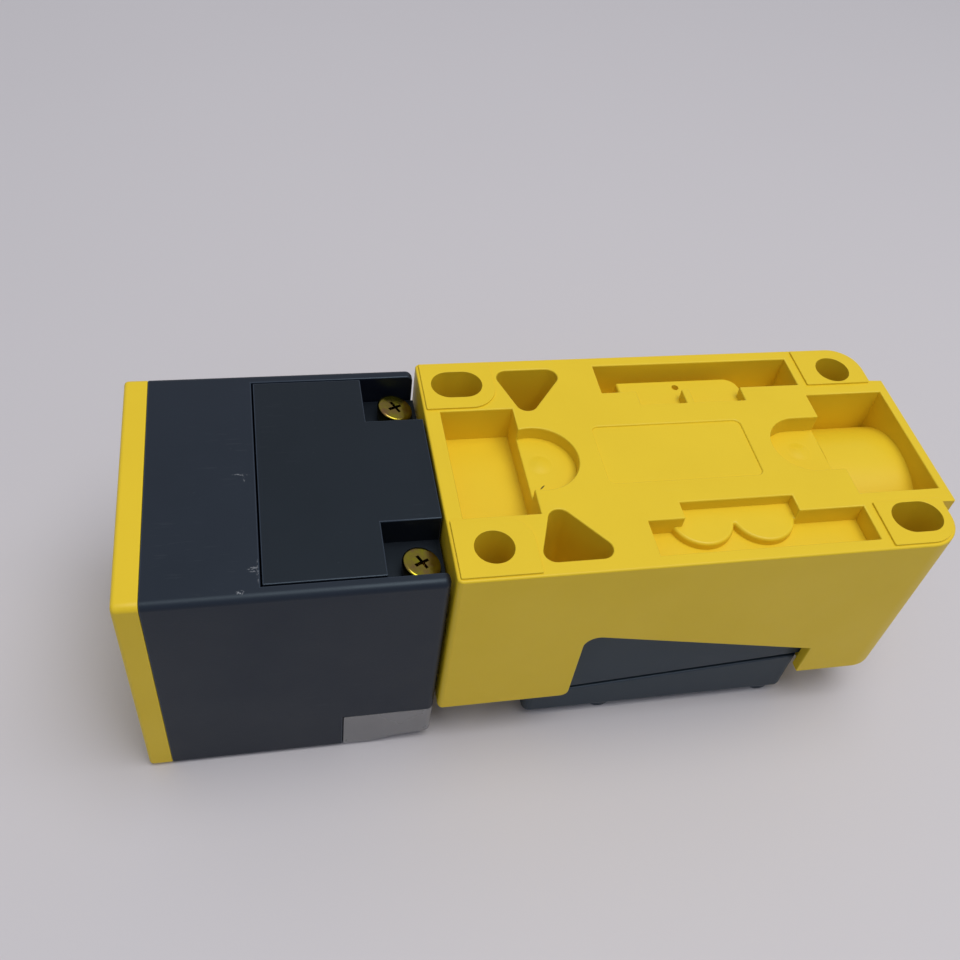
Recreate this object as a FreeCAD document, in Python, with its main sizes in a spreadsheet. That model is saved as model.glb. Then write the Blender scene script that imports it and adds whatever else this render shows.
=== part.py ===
import FreeCAD, Part
import math
import os
import Sketcher
from types import SimpleNamespace

# Inductive proximity sensor: square sensing head on a moulded mounting base.
# Frame: X along the sensor (+X to the cable entry), Z out of the mounting face,
# origin at the middle of the mounting holes on the plane of the mounting pads.

# Driving dimensions in millimetres, one spreadsheet row each
DIMENSIONS = {
    # square section shared by head and base
    "section_width": 40.0,
    # sensing head
    "head_inset": 0.4,
    "head_length": 37.3,
    "head_drop": 0.8,
    "head_gap": 0.5,
    "head_wall": 2.0,
    "head_edge_radius": 1.0,
    "front_cavity_depth": 13.5,
    "cap_thickness": 3.2,
    "cap_edge_radius": 0.6,
    "cap_lip_depth": 2.0,
    "cap_lip_wall": 1.4,
    "seat_gap": 0.05,
    # coil and electronics in the head
    "core_radius": 15.5,
    "core_length": 8.0,
    "core_wall": 2.0,
    "core_post_radius": 7.0,
    "core_hole_radius": 2.5,
    "former_wall": 0.7,
    "winding_gap": 0.1,
    "potting_thickness": 2.4,
    "board_thickness": 1.6,
    "board_gap": 0.3,
    "chip_height": 1.3,
    "channel_width": 29.0,
    "channel_height": 5.0,
    "channel_end_wall": 4.0,
    "led_board_thickness": 1.2,
    "led_size": 2.0,
    # corner lenses of the status lights
    "lens_length": 13.0,
    "lens_height": 8.3,
    "lens_depth": 2.9,
    "lens_gap": 0.08,
    "guide_radius": 1.2,
    "guide_setback": 9.5,
    "scoop_length": 11.0,
    "scoop_middle": 5.5,
    "scoop_middle_rise": 1.6,
    "scoop_rise": 2.1,
    # saddle that clamps the head on its neck
    "saddle_length": 23.0,
    "saddle_width": 35.2,
    "saddle_plate": 7.2,
    "saddle_block_width": 21.0,
    "saddle_tongue_gap": 0.25,
    "saddle_gap": 0.2,
    "saddle_split": 0.3,
    "screw_pocket_length": 7.8,
    "screw_pocket_inner": 9.1,
    "screw_pocket_depth": 4.5,
    "screw_spacing": 28.3,
    "screw_setback": 2.9,
    "screw_head_radius": 2.6,
    "screw_head_height": 2.0,
    "screw_radius": 1.45,
    "screw_length": 9.5,
    "screw_clearance": 0.15,
    "insert_radius": 2.2,
    "insert_length": 7.0,
    # neck between head and base
    "neck_radius": 7.0,
    "neck_bore_radius": 4.0,
    "neck_reach": 18.0,
    "neck_running_gap": 0.05,
    "collar_radius": 9.0,
    "collar_width": 3.0,
    "collar_setback": 2.0,
    "collar_side_gap": 0.1,
    "shoulder_radius": 8.8,
    "shoulder_width": 2.8,
    "neck_fit_gap": 0.08,
    "nut_width": 18.0,
    "nut_height": 3.0,
    "nut_thread_end": 1.2,
    "seal_radius": 0.7,
    "seal_setback": 7.0,
    "seal_groove_gap": 0.05,
    # mounting base
    "base_length": 71.0,
    "base_lift": 9.0,
    "base_rear_radius": 5.0,
    "base_front_radius": 0.8,
    "base_edge_radius": 0.3,
    "deck_thickness": 8.3,
    "side_wall": 1.7,
    "hollow_front": 12.0,
    "hollow_rear": 22.0,
    "pad_height": 0.3,
    "pad_inset": 0.45,
    "pad_inner_x": 24.5,
    "pad_front_inner_y": 10.2,
    "pad_rear_inner_y": 11.9,
    "pad_corner_radius": 4.0,
    "hole_spacing_x": 60.0,
    "hole_spacing_y": 30.0,
    "hole_radius": 2.65,
    "slot_length": 7.5,
    # pockets in the mounting face
    "front_recess_start": 33.2,
    "front_recess_end": 22.7,
    "front_recess_width": 19.6,
    "front_recess_depth": 6.2,
    "disc_recess_x": 21.0,
    "disc_recess_radius": 5.8,
    "disc_recess_depth": 2.4,
    "rear_recess_start": 23.6,
    "rear_recess_end": 36.05,
    "rear_recess_width": 19.8,
    "lobe_x": 19.4,
    "lobe_radius": 5.2,
    "lobe_depth": 3.2,
    "triangle_apex_x": 20.9,
    "triangle_apex_y": 7.6,
    "triangle_front_x": 24.4,
    "triangle_rear_x": 12.8,
    "triangle_wall": 2.15,
    "triangle_depth": 13.5,
    "triangle_radius": 1.6,
    "side_pocket_front": 8.5,
    "side_pocket_rear": 23.1,
    "side_pocket_width": 5.8,
    "side_pocket_wall": 1.9,
    "near_pocket_depth": 3.3,
    "far_pocket_depth": 6.3,
    "shelf_depth": 2.1,
    "shelf_front": 3.2,
    "shelf_rear": 13.4,
    "shelf_width": 2.8,
    "tongue_radius": 4.6,
    "tongue_spacing": 9.0,
    "tongue_middle_x": 4.4,
    "tongue_length": 3.3,
    "plateau_front": 5.0,
    "plateau_rear": 14.6,
    "plateau_length": 3.9,
    "plateau_radius": 2.4,
    "shelf_rib_x": 4.0,
    "shelf_rib_width": 1.2,
    "field_front": 12.0,
    "field_rear": 10.8,
    "field_width": 10.8,
    "field_depth": 0.25,
    "field_radius": 1.0,
    # window in each side wall
    "window_front": 16.0,
    "window_rear": 21.0,
    "window_front_top": 15.4,
    "window_rear_top": 24.5,
    "window_radius": 2.0,
    "window_foot_radius": 1.2,
    "window_gap": 0.25,
    # cable entry at the rear end
    "entry_drop": 15.8,
    "entry_radius": 9.2,
    "entry_boss_radius": 12.5,
    "entry_projection": 2.0,
    "entry_thread_length": 13.5,
    "cable_hole_radius": 6.0,
    # terminal housing and lid
    "housing_gap": 0.2,
    "housing_wall": 2.0,
    "housing_floor": 1.5,
    "seam_front_lift": 7.2,
    "seam_rear_lift": 11.1,
    "seam_gap": 0.8,
    "gasket_inset": 0.5,
    "gasket_width": 1.1,
    "gasket_clearance": 0.05,
    "lid_front": 21.5,
    "lid_rear": 21.6,
    "lid_skin": 1.8,
    "lid_wall": 2.0,
    "lid_edge_radius": 1.2,
    "boss_radius": 2.6,
    "boss_inset": 3.2,
    "boss_height": 1.2,
    "lid_screw_head_radius": 2.0,
    "lid_screw_head_height": 1.5,
    "lid_screw_sink": 1.9,
    "lid_screw_radius": 1.25,
    "lid_screw_length": 14.0,
    "lid_screw_clearance": 0.08,
    # terminals
    "block_front": 2.0,
    "block_rear": 14.0,
    "block_side_gap": 2.1,
    "block_height": 14.5,
    "terminal_pitch": 6.5,
    "terminal_x": 6.8,
    "cage_length": 5.0,
    "cage_width": 5.0,
    "cage_side_wall": 0.7,
    "cage_nut_wall": 2.1,
    "cage_jaw_wall": 1.2,
    "cage_window": 5.3,
    "cage_travel": 2.0,
    "cage_gap": 0.25,
    "bar_length": 9.6,
    "bar_width": 3.0,
    "bar_thickness": 1.0,
    "bar_gap": 0.05,
    "wire_space": 3.0,
    "terminal_screw_head_radius": 2.3,
    "terminal_screw_head_height": 1.7,
    "terminal_screw_radius": 1.5,
    "terminal_screw_gap": 0.05,
    "wire_hole_radius": 1.4,
    "lead_radius": 0.6,
    "lead_spacing": 2.6,
    "lead_end_gap": 0.2,
}

TERMINALS = (1, 2, 3, 4)
SIDES = {"near": -1, "far": 1}
OVERCUT = 2.0

doc = FreeCAD.newDocument("ProximitySensor")
sheet = doc.addObject("Spreadsheet::Sheet", "Dims")
for row, (alias, number) in enumerate(DIMENSIONS.items(), start=1):
    sheet.set(f"A{row}", alias)
    sheet.set(f"B{row}", str(number))
    sheet.setAlias(f"B{row}", alias)
doc.recompute()


# A length together with the sheet formula that gives it
class Size:
    def __init__(self, value, text):
        self.value = value
        self.text = text

    def __add__(self, other):
        other = as_size(other)
        return Size(self.value + other.value, f"({self.text} + {other.text})")

    def __sub__(self, other):
        other = as_size(other)
        return Size(self.value - other.value, f"({self.text} - {other.text})")

    def __mul__(self, other):
        other = as_size(other)
        return Size(self.value * other.value, f"({self.text} * {other.text})")

    def __truediv__(self, other):
        other = as_size(other)
        return Size(self.value / other.value, f"({self.text} / {other.text})")

    def __radd__(self, other):
        return as_size(other) + self

    def __rsub__(self, other):
        return as_size(other) - self

    def __rmul__(self, other):
        return as_size(other) * self

    def __neg__(self):
        return Size(-self.value, f"(0 - {self.text})")


def as_size(item):
    if isinstance(item, Size):
        return item
    return Size(float(item), f"({item})")


d = SimpleNamespace(**{
    alias: Size(float(sheet.get(alias)), f"Dims.{alias}") for alias in DIMENSIONS
})

# Places shared by several pieces
base_front = -d.base_length / 2
base_rear = d.base_length / 2
head_rear = base_front - d.head_gap
head_front = head_rear - d.head_length
cap_front = head_front - d.cap_thickness
head_top = -d.head_drop
head_width = d.section_width - 2 * d.head_inset
head_half = head_width / 2
axis_z = head_top - head_half
head_bottom = head_top - head_width
cavity_half = head_half - d.head_wall
cavity_rear = head_front + d.front_cavity_depth
channel_floor = head_bottom + d.head_wall
channel_rear = head_rear - d.channel_end_wall
neck_front = head_rear - d.neck_reach
collar_front = neck_front + d.collar_setback
shoulder_rear = base_front + d.shoulder_width
saddle_front = head_rear - d.saddle_length
saddle_rear = base_front - d.saddle_tongue_gap
saddle_seat = head_top - d.saddle_plate
screw_x = head_rear - d.screw_setback
screw_seat = head_top - d.screw_pocket_depth
pocket_front = head_rear - d.screw_pocket_length
insert_reach = saddle_seat - d.insert_length
lens_front = head_rear - d.lens_length
lens_top = head_bottom + d.lens_height
guide_x = head_rear - d.guide_setback
core_rear = head_front + d.core_length
board_front = core_rear + d.potting_thickness
board_rear = board_front + d.board_thickness
led_board_top = channel_floor + d.led_board_thickness
guide_z = led_board_top + d.led_size / 2
led_outer = d.channel_width / 2 - d.board_gap - d.led_size / 2
deck_face = -d.pad_height
deck_under = -d.deck_thickness
base_half = d.section_width / 2
hollow_half = base_half - d.side_wall
entry_z = -d.entry_drop
entry_end = base_rear + d.entry_projection
base_bottom = d.base_lift - d.section_width
foot_bottom = -d.section_width
lid_bottom = foot_bottom + d.boss_height
housing_front = -(d.hollow_front - d.housing_gap)
housing_nose = -(d.window_front - d.window_gap)
housing_rear = d.hollow_rear - d.housing_gap
housing_half = hollow_half - d.housing_gap
chamber_front = housing_front + d.housing_wall
chamber_rear = housing_rear - d.housing_wall
chamber_half = housing_half - d.housing_wall
chamber_nose = housing_nose + d.housing_wall
chamber_floor = deck_under - d.housing_floor
block_face = chamber_floor - d.block_height
boss_places = [
    (x, y)
    for x in (housing_front + d.boss_inset, housing_rear - d.boss_inset)
    for y in (d.boss_inset - housing_half, housing_half - d.boss_inset)
]


# Height of the slanting seam between housing and lid at a place along the sensor
def seam(x):
    slope = (d.seam_rear_lift - d.seam_front_lift) / (d.lid_front + d.lid_rear)
    return slope * (x + d.lid_front) + d.seam_front_lift - d.section_width


# Height of the slanting top of the side window
def window_top(x):
    slope = (d.window_rear_top - d.window_front_top) / (d.window_front + d.window_rear)
    return -d.window_front_top - slope * (x + d.window_front)


def bind(item, **formulas):
    for name, size in formulas.items():
        item.setExpression(name, as_size(size).text)


def place(item, x=None, y=None, z=None):
    for letter, size in (("x", x), ("y", y), ("z", z)):
        if size is not None:
            item.setExpression(f"Placement.Base.{letter}", as_size(size).text)


# Sketches: every corner is tied to the sheet by its distance from the sketch origin
class Outline:
    def __init__(self, body, plane, offset=0):
        self.sketch = body.newObject("Sketcher::SketchObject", "Sketch")
        support = [item for item in body.Origin.OriginFeatures if item.Role == plane]
        self.sketch.AttachmentSupport = [(support[0], "")]
        self.sketch.MapMode = "FlatFace"
        self.sketch.setExpression("AttachmentOffset.Base.z", as_size(offset).text)

    def tie(self, kind, size, *references):
        size = as_size(size)
        index = self.sketch.addConstraint(Sketcher.Constraint(kind, *references, size.value))
        self.sketch.setExpression(f"Constraints[{index}]", size.text)

    def pin(self, geometry, point, x=None, y=None):
        if x is not None:
            self.tie("DistanceX", x, -1, 1, geometry, point)
        if y is not None:
            self.tie("DistanceY", y, -1, 1, geometry, point)

    def join(self, first, first_point, second, second_point):
        self.sketch.addConstraint(
            Sketcher.Constraint("Coincident", first, first_point, second, second_point)
        )

    def line(self, start, end):
        start = FreeCAD.Vector(as_size(start[0]).value, as_size(start[1]).value)
        end = FreeCAD.Vector(as_size(end[0]).value, as_size(end[1]).value)
        return self.sketch.addGeometry(Part.LineSegment(start, end), False)

    def polygon(self, *corners):
        lines = [self.line(a, b) for a, b in zip(corners, corners[1:] + corners[:1])]
        for this, following in zip(lines, lines[1:] + lines[:1]):
            self.join(this, 2, following, 1)
        for line, (x, y) in zip(lines, corners):
            self.pin(line, 1, x, y)
        return self

    def rectangle(self, x0, x1, y0, y1):
        return self.polygon((x0, y0), (x1, y0), (x1, y1), (x0, y1))

    def circle(self, x, y, radius):
        x, y, radius = as_size(x), as_size(y), as_size(radius)
        centre = FreeCAD.Vector(x.value, y.value)
        circle = Part.Circle(centre, FreeCAD.Vector(0, 0, 1), radius.value)
        index = self.sketch.addGeometry(circle, False)
        self.pin(index, 3, x, y)
        self.tie("Radius", radius, index)
        return self

    def arc(self, centre, radius, start_angle, end_angle):
        centre = FreeCAD.Vector(as_size(centre[0]).value, as_size(centre[1]).value)
        circle = Part.Circle(centre, FreeCAD.Vector(0, 0, 1), as_size(radius).value)
        arc = Part.ArcOfCircle(circle, start_angle, end_angle)
        return self.sketch.addGeometry(arc, False)

    # Long hole along the first sketch axis, between two arc centres
    def slot(self, x0, x1, y, radius):
        quarter = math.pi / 2
        left = self.arc((x0, y), radius, quarter, 3 * quarter)
        right = self.arc((x1, y), radius, -quarter, quarter)
        upper = self.line((x1, y + radius), (x0, y + radius))
        lower = self.line((x0, y - radius), (x1, y - radius))
        for index, x in ((left, x0), (right, x1)):
            self.pin(index, 3, x, y)
            self.pin(index, 1, x=x)
            self.pin(index, 2, x=x)
            self.tie("Radius", radius, index)
        self.join(upper, 1, right, 2)
        self.join(upper, 2, left, 1)
        self.join(lower, 1, left, 2)
        self.join(lower, 2, right, 1)
        return self

    # Straight-sided outline with every corner rounded alike
    def rounded(self, radius, *corners):
        radius = as_size(radius)
        points = [FreeCAD.Vector(as_size(x).value, as_size(y).value) for x, y in corners]
        lines, arcs = [], []
        for this, before, after in zip(points, points[-1:] + points[:-1], points[1:] + points[:1]):
            back, ahead = (before - this).normalize(), (after - this).normalize()
            half = back.getAngle(ahead) / 2
            start = this + back * (radius.value / math.tan(half))
            end = this + ahead * (radius.value / math.tan(half))
            centre = this + (back + ahead).normalize() * (radius.value / math.sin(half))
            first = math.atan2(start.y - centre.y, start.x - centre.x)
            last = math.atan2(end.y - centre.y, end.x - centre.x)
            forward = (last - first) % (2 * math.pi) < math.pi
            arc = self.arc((centre.x, centre.y), radius, *((first, last) if forward else (last, first)))
            arcs.append((arc, (1, 2) if forward else (2, 1), start, end))
        for this, following in zip(arcs, arcs[1:] + arcs[:1]):
            lines.append(self.sketch.addGeometry(Part.LineSegment(this[3], following[2]), False))
        for number, (arc, (into, out), start, end) in enumerate(arcs):
            self.sketch.addConstraint(Sketcher.Constraint("Tangent", lines[number - 1], 2, arc, into))
            self.sketch.addConstraint(Sketcher.Constraint("Tangent", arc, out, lines[number], 1))
            self.tie("Radius", radius, arc)
            corner = self.sketch.addGeometry(Part.Point(points[number]), True)
            self.pin(corner, 1, *corners[number])
            for line in (lines[number - 1], lines[number]):
                self.sketch.addConstraint(Sketcher.Constraint("PointOnObject", corner, 1, line))
        return self

    # Rectangle whose second corner is a quarter round
    def round_cornered(self, sharp, round_corner, radius):
        (x0, y0), (x1, y1) = sharp, round_corner
        side_x = 1 if x1.value > x0.value else -1
        side_y = 1 if y1.value > y0.value else -1
        centre = (x1 - side_x * radius, y1 - side_y * radius)
        quarter = math.pi / 2
        turn = {(1, 1): 0, (-1, 1): 1, (-1, -1): 2, (1, -1): 3}[side_x, side_y]
        arc = self.arc(centre, radius, turn * quarter, (turn + 1) * quarter)
        on_x, on_y = (1, 2) if side_x == side_y else (2, 1)
        first = self.line((x1, centre[1]), (x1, y0))
        second = self.line((x1, y0), (x0, y0))
        third = self.line((x0, y0), (x0, y1))
        fourth = self.line((x0, y1), (centre[0], y1))
        self.join(arc, on_x, first, 1)
        self.join(first, 2, second, 1)
        self.join(second, 2, third, 1)
        self.join(third, 2, fourth, 1)
        self.join(fourth, 2, arc, on_y)
        self.pin(arc, 3, *centre)
        self.tie("Radius", radius, arc)
        self.pin(arc, on_x, y=centre[1])
        self.pin(arc, on_y, x=centre[0])
        self.pin(second, 1, x1, y0)
        self.pin(third, 1, x0, y0)
        self.pin(fourth, 1, x0, y1)
        return self

    # Straight sides from a top edge down to an arc; a full half round when width is 2 radii
    def arched(self, half_width, top, centre_y, radius, crown_up):
        half_width, top, centre_y = as_size(half_width), as_size(top), as_size(centre_y)
        radius = as_size(radius)
        reach = (radius.value ** 2 - half_width.value ** 2) ** 0.5
        sign = 1 if crown_up else -1
        foot = centre_y.value + sign * reach
        up = FreeCAD.Vector(0, 1, 0)
        side = FreeCAD.Vector(half_width.value, sign * reach, 0).getAngle(up)
        quarter = math.pi / 2
        start, end = (quarter - side, quarter + side) if crown_up else (quarter + side, 5 * quarter - side)
        arc = self.arc((0, centre_y), radius, start, end)
        right_point, left_point = (1, 2) if crown_up else (2, 1)
        right = self.line((half_width, foot), (half_width, top))
        upper = self.line((half_width, top), (-half_width, top))
        left = self.line((-half_width, top), (-half_width, foot))
        self.join(arc, right_point, right, 1)
        self.join(right, 2, upper, 1)
        self.join(upper, 2, left, 1)
        self.join(left, 2, arc, left_point)
        self.pin(arc, 3, 0, centre_y)
        self.tie("Radius", radius, arc)
        self.pin(right, 2, half_width, top)
        self.pin(left, 1, -half_width, top)
        self.pin(right, 1, x=half_width)
        self.pin(left, 2, x=-half_width)
        return self


def new_body(label):
    body = doc.addObject("PartDesign::Body", label)
    body.Label = label
    return body


def settle(body, item):
    doc.recompute()
    if not item.isValid():
        raise RuntimeError(f"{body.Label}: {item.Name} failed, {item.State}")


def feature(body, kind, outline, length, reverse=False, symmetric=False):
    item = body.newObject(f"PartDesign::{kind}", kind)
    item.Profile = outline.sketch
    item.Reversed = reverse
    if symmetric:
        item.SideType = "Symmetric"
    bind(item, Length=length)
    outline.sketch.Visibility = False
    settle(body, item)
    return item


def pad(body, outline, length, **options):
    return feature(body, "Pad", outline, length, **options)


# A pocket that removes nothing is a mistake in its direction or place
def pocket(body, outline, length, **options):
    before = body.Shape.Volume
    item = feature(body, "Pocket", outline, length, **options)
    if body.Shape.Volume > before - 1e-6:
        raise RuntimeError(f"{body.Label}: {item.Name} cuts nothing")
    return item


def fillet(body, radius, chosen):
    rounded = body.Tip
    edges = [f"Edge{n}" for n, edge in enumerate(rounded.Shape.Edges, start=1) if chosen(edge)]
    if not edges:
        raise RuntimeError(f"{body.Label}: no edge to round")
    item = body.newObject("PartDesign::Fillet", "Fillet")
    item.Base = (rounded, edges)
    bind(item, Radius=radius)
    body.Tip = item
    settle(body, item)
    return item


def close(a, b):
    return abs(a - as_size(b).value) < 1e-3


def along(edge, axis):
    first, last = edge.Vertexes[0].Point, edge.Vertexes[-1].Point
    span = last - first
    return edge.Curve.TypeId == "Part::GeomLine" and abs(abs(span[axis]) - span.Length) < 1e-6


def at(edge, axis, size):
    box = edge.BoundBox
    low, high = ((box.XMin, box.XMax), (box.YMin, box.YMax), (box.ZMin, box.ZMax))[axis]
    return close(low, size) and close(high, size)


# Turned piece on the neck axis, from (distance along X, radius) corners
def turned(label, *corners):
    body = new_body(label)
    outline = Outline(body, "XZ_Plane").polygon(*corners)
    item = body.newObject("PartDesign::Revolution", "Revolution")
    item.Profile = outline.sketch
    item.ReferenceAxis = (outline.sketch, ["H_Axis"])
    outline.sketch.Visibility = False
    place(body, z=axis_z)
    doc.recompute()
    return body


def box(label, x0, x1, y0, y1, z0, z1):
    item = doc.addObject("Part::Box", label)
    bind(item, Length=x1 - x0, Width=y1 - y0, Height=z1 - z0)
    place(item, x0, y0, z0)
    return item


def upright(label, radius, x, y, z0, z1):
    item = doc.addObject("Part::Cylinder", label)
    bind(item, Radius=radius, Height=z1 - z0)
    place(item, x, y, z0)
    return item


def lengthwise(label, radius, x0, x1, y, z):
    item = doc.addObject("Part::Cylinder", label)
    item.Placement = FreeCAD.Placement(
        FreeCAD.Vector(), FreeCAD.Rotation(FreeCAD.Vector(0, 1, 0), 90)
    )
    bind(item, Radius=radius, Height=x1 - x0)
    place(item, x0, y, z)
    return item


def cut(label, base, *tools):
    item = doc.addObject("Part::Cut", label)
    item.Base = base
    item.Tool = tools[0] if len(tools) == 1 else fuse(f"{label}_tools", *tools)
    return item


def fuse(label, *pieces):
    item = doc.addObject("Part::MultiFuse", label)
    item.Shapes = list(pieces)
    return item


def group(label, *pieces):
    item = doc.addObject("Part::Compound", label)
    item.Links = list(pieces)
    return item


def square_ring(body, x, half, wall, length):
    inner = half - wall
    outline = Outline(body, "YZ_Plane", x)
    outline.rectangle(-half, half, axis_z - half, axis_z + half)
    outline.rectangle(-inner, inner, axis_z - inner, axis_z + inner)
    pad(body, outline, length)


def make_cap():
    body = new_body("active_face_cap")
    face = Outline(body, "YZ_Plane", cap_front)
    face.rectangle(-head_half, head_half, head_bottom, head_top)
    pad(body, face, d.cap_thickness)
    fillet(body, d.head_edge_radius, lambda edge: along(edge, 0))
    fillet(body, d.cap_edge_radius, lambda edge: at(edge, 0, cap_front))
    square_ring(body, head_front, cavity_half - d.seat_gap, d.cap_lip_wall, d.cap_lip_depth)
    return body


# Finger scoop under the rear edge of the head, through its whole width
def cut_scoop(body):
    outline = Outline(body, "XZ_Plane")
    outline.polygon(
        (head_rear - d.scoop_length, head_bottom),
        (head_rear - d.scoop_length, head_bottom - OVERCUT),
        (head_rear + OVERCUT, head_bottom - OVERCUT),
        (head_rear + OVERCUT, head_bottom + d.scoop_rise),
        (head_rear, head_bottom + d.scoop_rise),
        (head_rear - d.scoop_middle, head_bottom + d.scoop_middle_rise),
    )
    pocket(body, outline, head_width + OVERCUT, symmetric=True)


def bore_for_neck(body):
    bore = Outline(body, "YZ_Plane", neck_front - d.collar_side_gap)
    bore.circle(0, axis_z, d.neck_radius + d.neck_running_gap)
    pocket(body, bore, d.neck_reach + d.head_gap + OVERCUT, reverse=True)
    groove = Outline(body, "YZ_Plane", collar_front - d.collar_side_gap)
    groove.circle(0, axis_z, d.collar_radius + d.neck_running_gap)
    pocket(body, groove, d.collar_width + 2 * d.collar_side_gap, reverse=True)
    passage = Outline(body, "YZ_Plane", cavity_rear - OVERCUT)
    passage.circle(0, axis_z, d.neck_bore_radius)
    pocket(body, passage, neck_front - cavity_rear + OVERCUT, reverse=True)


def make_head_shell():
    body = new_body("head_shell")
    section = Outline(body, "YZ_Plane", head_front)
    section.rectangle(-head_half, head_half, head_bottom, head_top)
    pad(body, section, d.head_length)
    fillet(body, d.head_edge_radius, lambda edge: along(edge, 0) or at(edge, 0, head_rear))

    cavity = Outline(body, "YZ_Plane", head_front)
    cavity.rectangle(-cavity_half, cavity_half, axis_z - cavity_half, axis_z + cavity_half)
    pocket(body, cavity, d.front_cavity_depth, reverse=True)
    channel = Outline(body, "YZ_Plane", head_front)
    half = d.channel_width / 2
    channel.rectangle(-half, half, channel_floor, channel_floor + d.channel_height)
    pocket(body, channel, channel_rear - head_front, reverse=True)

    for width, floor in ((d.saddle_width, saddle_seat), (d.saddle_block_width, axis_z)):
        half = width / 2 + d.saddle_gap
        seat = Outline(body, "XY_Plane", head_top + OVERCUT)
        seat.rectangle(saddle_front - d.saddle_gap, head_rear + OVERCUT, -half, half)
        pocket(body, seat, head_top - floor + OVERCUT)
    bore_for_neck(body)

    for sign in SIDES.values():
        hole = Outline(body, "XY_Plane", saddle_seat)
        hole.circle(screw_x, sign * d.screw_spacing / 2, d.insert_radius)
        pocket(body, hole, d.insert_length)

    for sign in SIDES.values():
        window = Outline(body, "XZ_Plane", -sign * (head_half + OVERCUT))
        window.rectangle(
            lens_front - d.lens_gap, head_rear + OVERCUT,
            head_bottom - OVERCUT, lens_top + d.lens_gap,
        )
        pocket(body, window, d.lens_depth + d.lens_gap + OVERCUT, reverse=sign > 0)
        hole = Outline(body, "XZ_Plane", -sign * (head_half - d.lens_depth))
        hole.circle(guide_x, guide_z, d.guide_radius + d.lens_gap)
        pocket(body, hole, head_half - d.lens_depth - led_outer, reverse=sign > 0)
    cut_scoop(body)
    return body


# Corner window that shows the status lights, with its light guide
def make_lens(side, sign):
    body = new_body(f"led_lens_{side}")
    window = Outline(body, "XZ_Plane", -sign * head_half)
    window.rectangle(lens_front, head_rear, head_bottom, lens_top)
    pad(body, window, d.lens_depth, reverse=sign < 0)
    fillet(
        body, d.head_edge_radius,
        lambda edge: (at(edge, 1, sign * head_half) and at(edge, 2, head_bottom))
        or (at(edge, 0, head_rear) and (at(edge, 1, sign * head_half) or at(edge, 2, head_bottom))),
    )
    guide = Outline(body, "XZ_Plane", -sign * (head_half - d.lens_depth))
    guide.circle(guide_x, guide_z, d.guide_radius)
    reach = head_half - d.lens_depth - led_outer - d.led_size / 2 - d.board_gap
    pad(body, guide, reach, reverse=sign < 0)
    cut_scoop(body)
    return body


def make_saddle():
    body = new_body("clamp_saddle")
    half = d.saddle_width / 2
    plate = Outline(body, "XY_Plane", saddle_seat)
    plate.rectangle(saddle_front, saddle_rear, -half, half)
    pad(body, plate, d.saddle_plate)
    half = d.saddle_block_width / 2
    block = Outline(body, "XY_Plane", axis_z + d.saddle_split)
    block.rectangle(saddle_front, saddle_rear, -half, half)
    pad(body, block, saddle_seat - axis_z - d.saddle_split)
    bore_for_neck(body)
    for sign in SIDES.values():
        corner = Outline(body, "XY_Plane", head_top)
        corner.rectangle(
            pocket_front, head_rear + OVERCUT,
            sign * d.screw_pocket_inner, sign * (d.saddle_width / 2 + OVERCUT),
        )
        pocket(body, corner, d.screw_pocket_depth)
        hole = Outline(body, "XY_Plane", screw_seat)
        hole.circle(screw_x, sign * d.screw_spacing / 2, d.screw_radius + d.screw_clearance)
        pocket(body, hole, d.saddle_plate)
    return body


def make_saddle_screws():
    screws = []
    inserts = []
    for side, sign in SIDES.items():
        y = sign * d.screw_spacing / 2
        tip = screw_seat - d.screw_length
        screws.append(fuse(
            f"saddle_screw_{side}",
            upright("Head", d.screw_head_radius, screw_x, y, screw_seat, screw_seat + d.screw_head_height),
            upright("Shank", d.screw_radius, screw_x, y, tip, screw_seat),
        ))
        inserts.append(cut(
            f"insert_{side}",
            upright("Sleeve", d.insert_radius - d.seat_gap, screw_x, y, insert_reach, saddle_seat),
            upright("Thread", d.screw_radius + d.seat_gap, screw_x, y, insert_reach, saddle_seat),
        ))
    return group("saddle_screws", *screws), group("screw_inserts", *inserts)


# Ferrite pot core behind the active face, with its former and winding in the groove
def make_coil():
    groove_floor = core_rear - d.core_wall
    rim = d.core_radius - d.core_wall
    core = turned(
        "ferrite_core",
        (head_front, d.core_hole_radius), (head_front, d.core_post_radius),
        (groove_floor, d.core_post_radius), (groove_floor, rim), (head_front, rim),
        (head_front, d.core_radius), (core_rear, d.core_radius), (core_rear, d.core_hole_radius),
    )
    inner = d.core_post_radius + d.winding_gap
    outer = rim - d.winding_gap
    start = head_front + d.winding_gap
    end = groove_floor - d.winding_gap
    sleeve = inner + d.former_wall
    former = turned(
        "coil_former",
        (start, inner), (start, outer), (start + d.former_wall, outer), (start + d.former_wall, sleeve),
        (end - d.former_wall, sleeve), (end - d.former_wall, outer), (end, outer), (end, inner),
    )
    first = start + d.former_wall + d.winding_gap
    last = end - d.former_wall - d.winding_gap
    winding = turned(
        "coil_winding",
        (first, sleeve + d.winding_gap), (first, outer - d.former_wall),
        (last, outer - d.former_wall), (last, sleeve + d.winding_gap),
    )
    return core, former, winding


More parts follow.
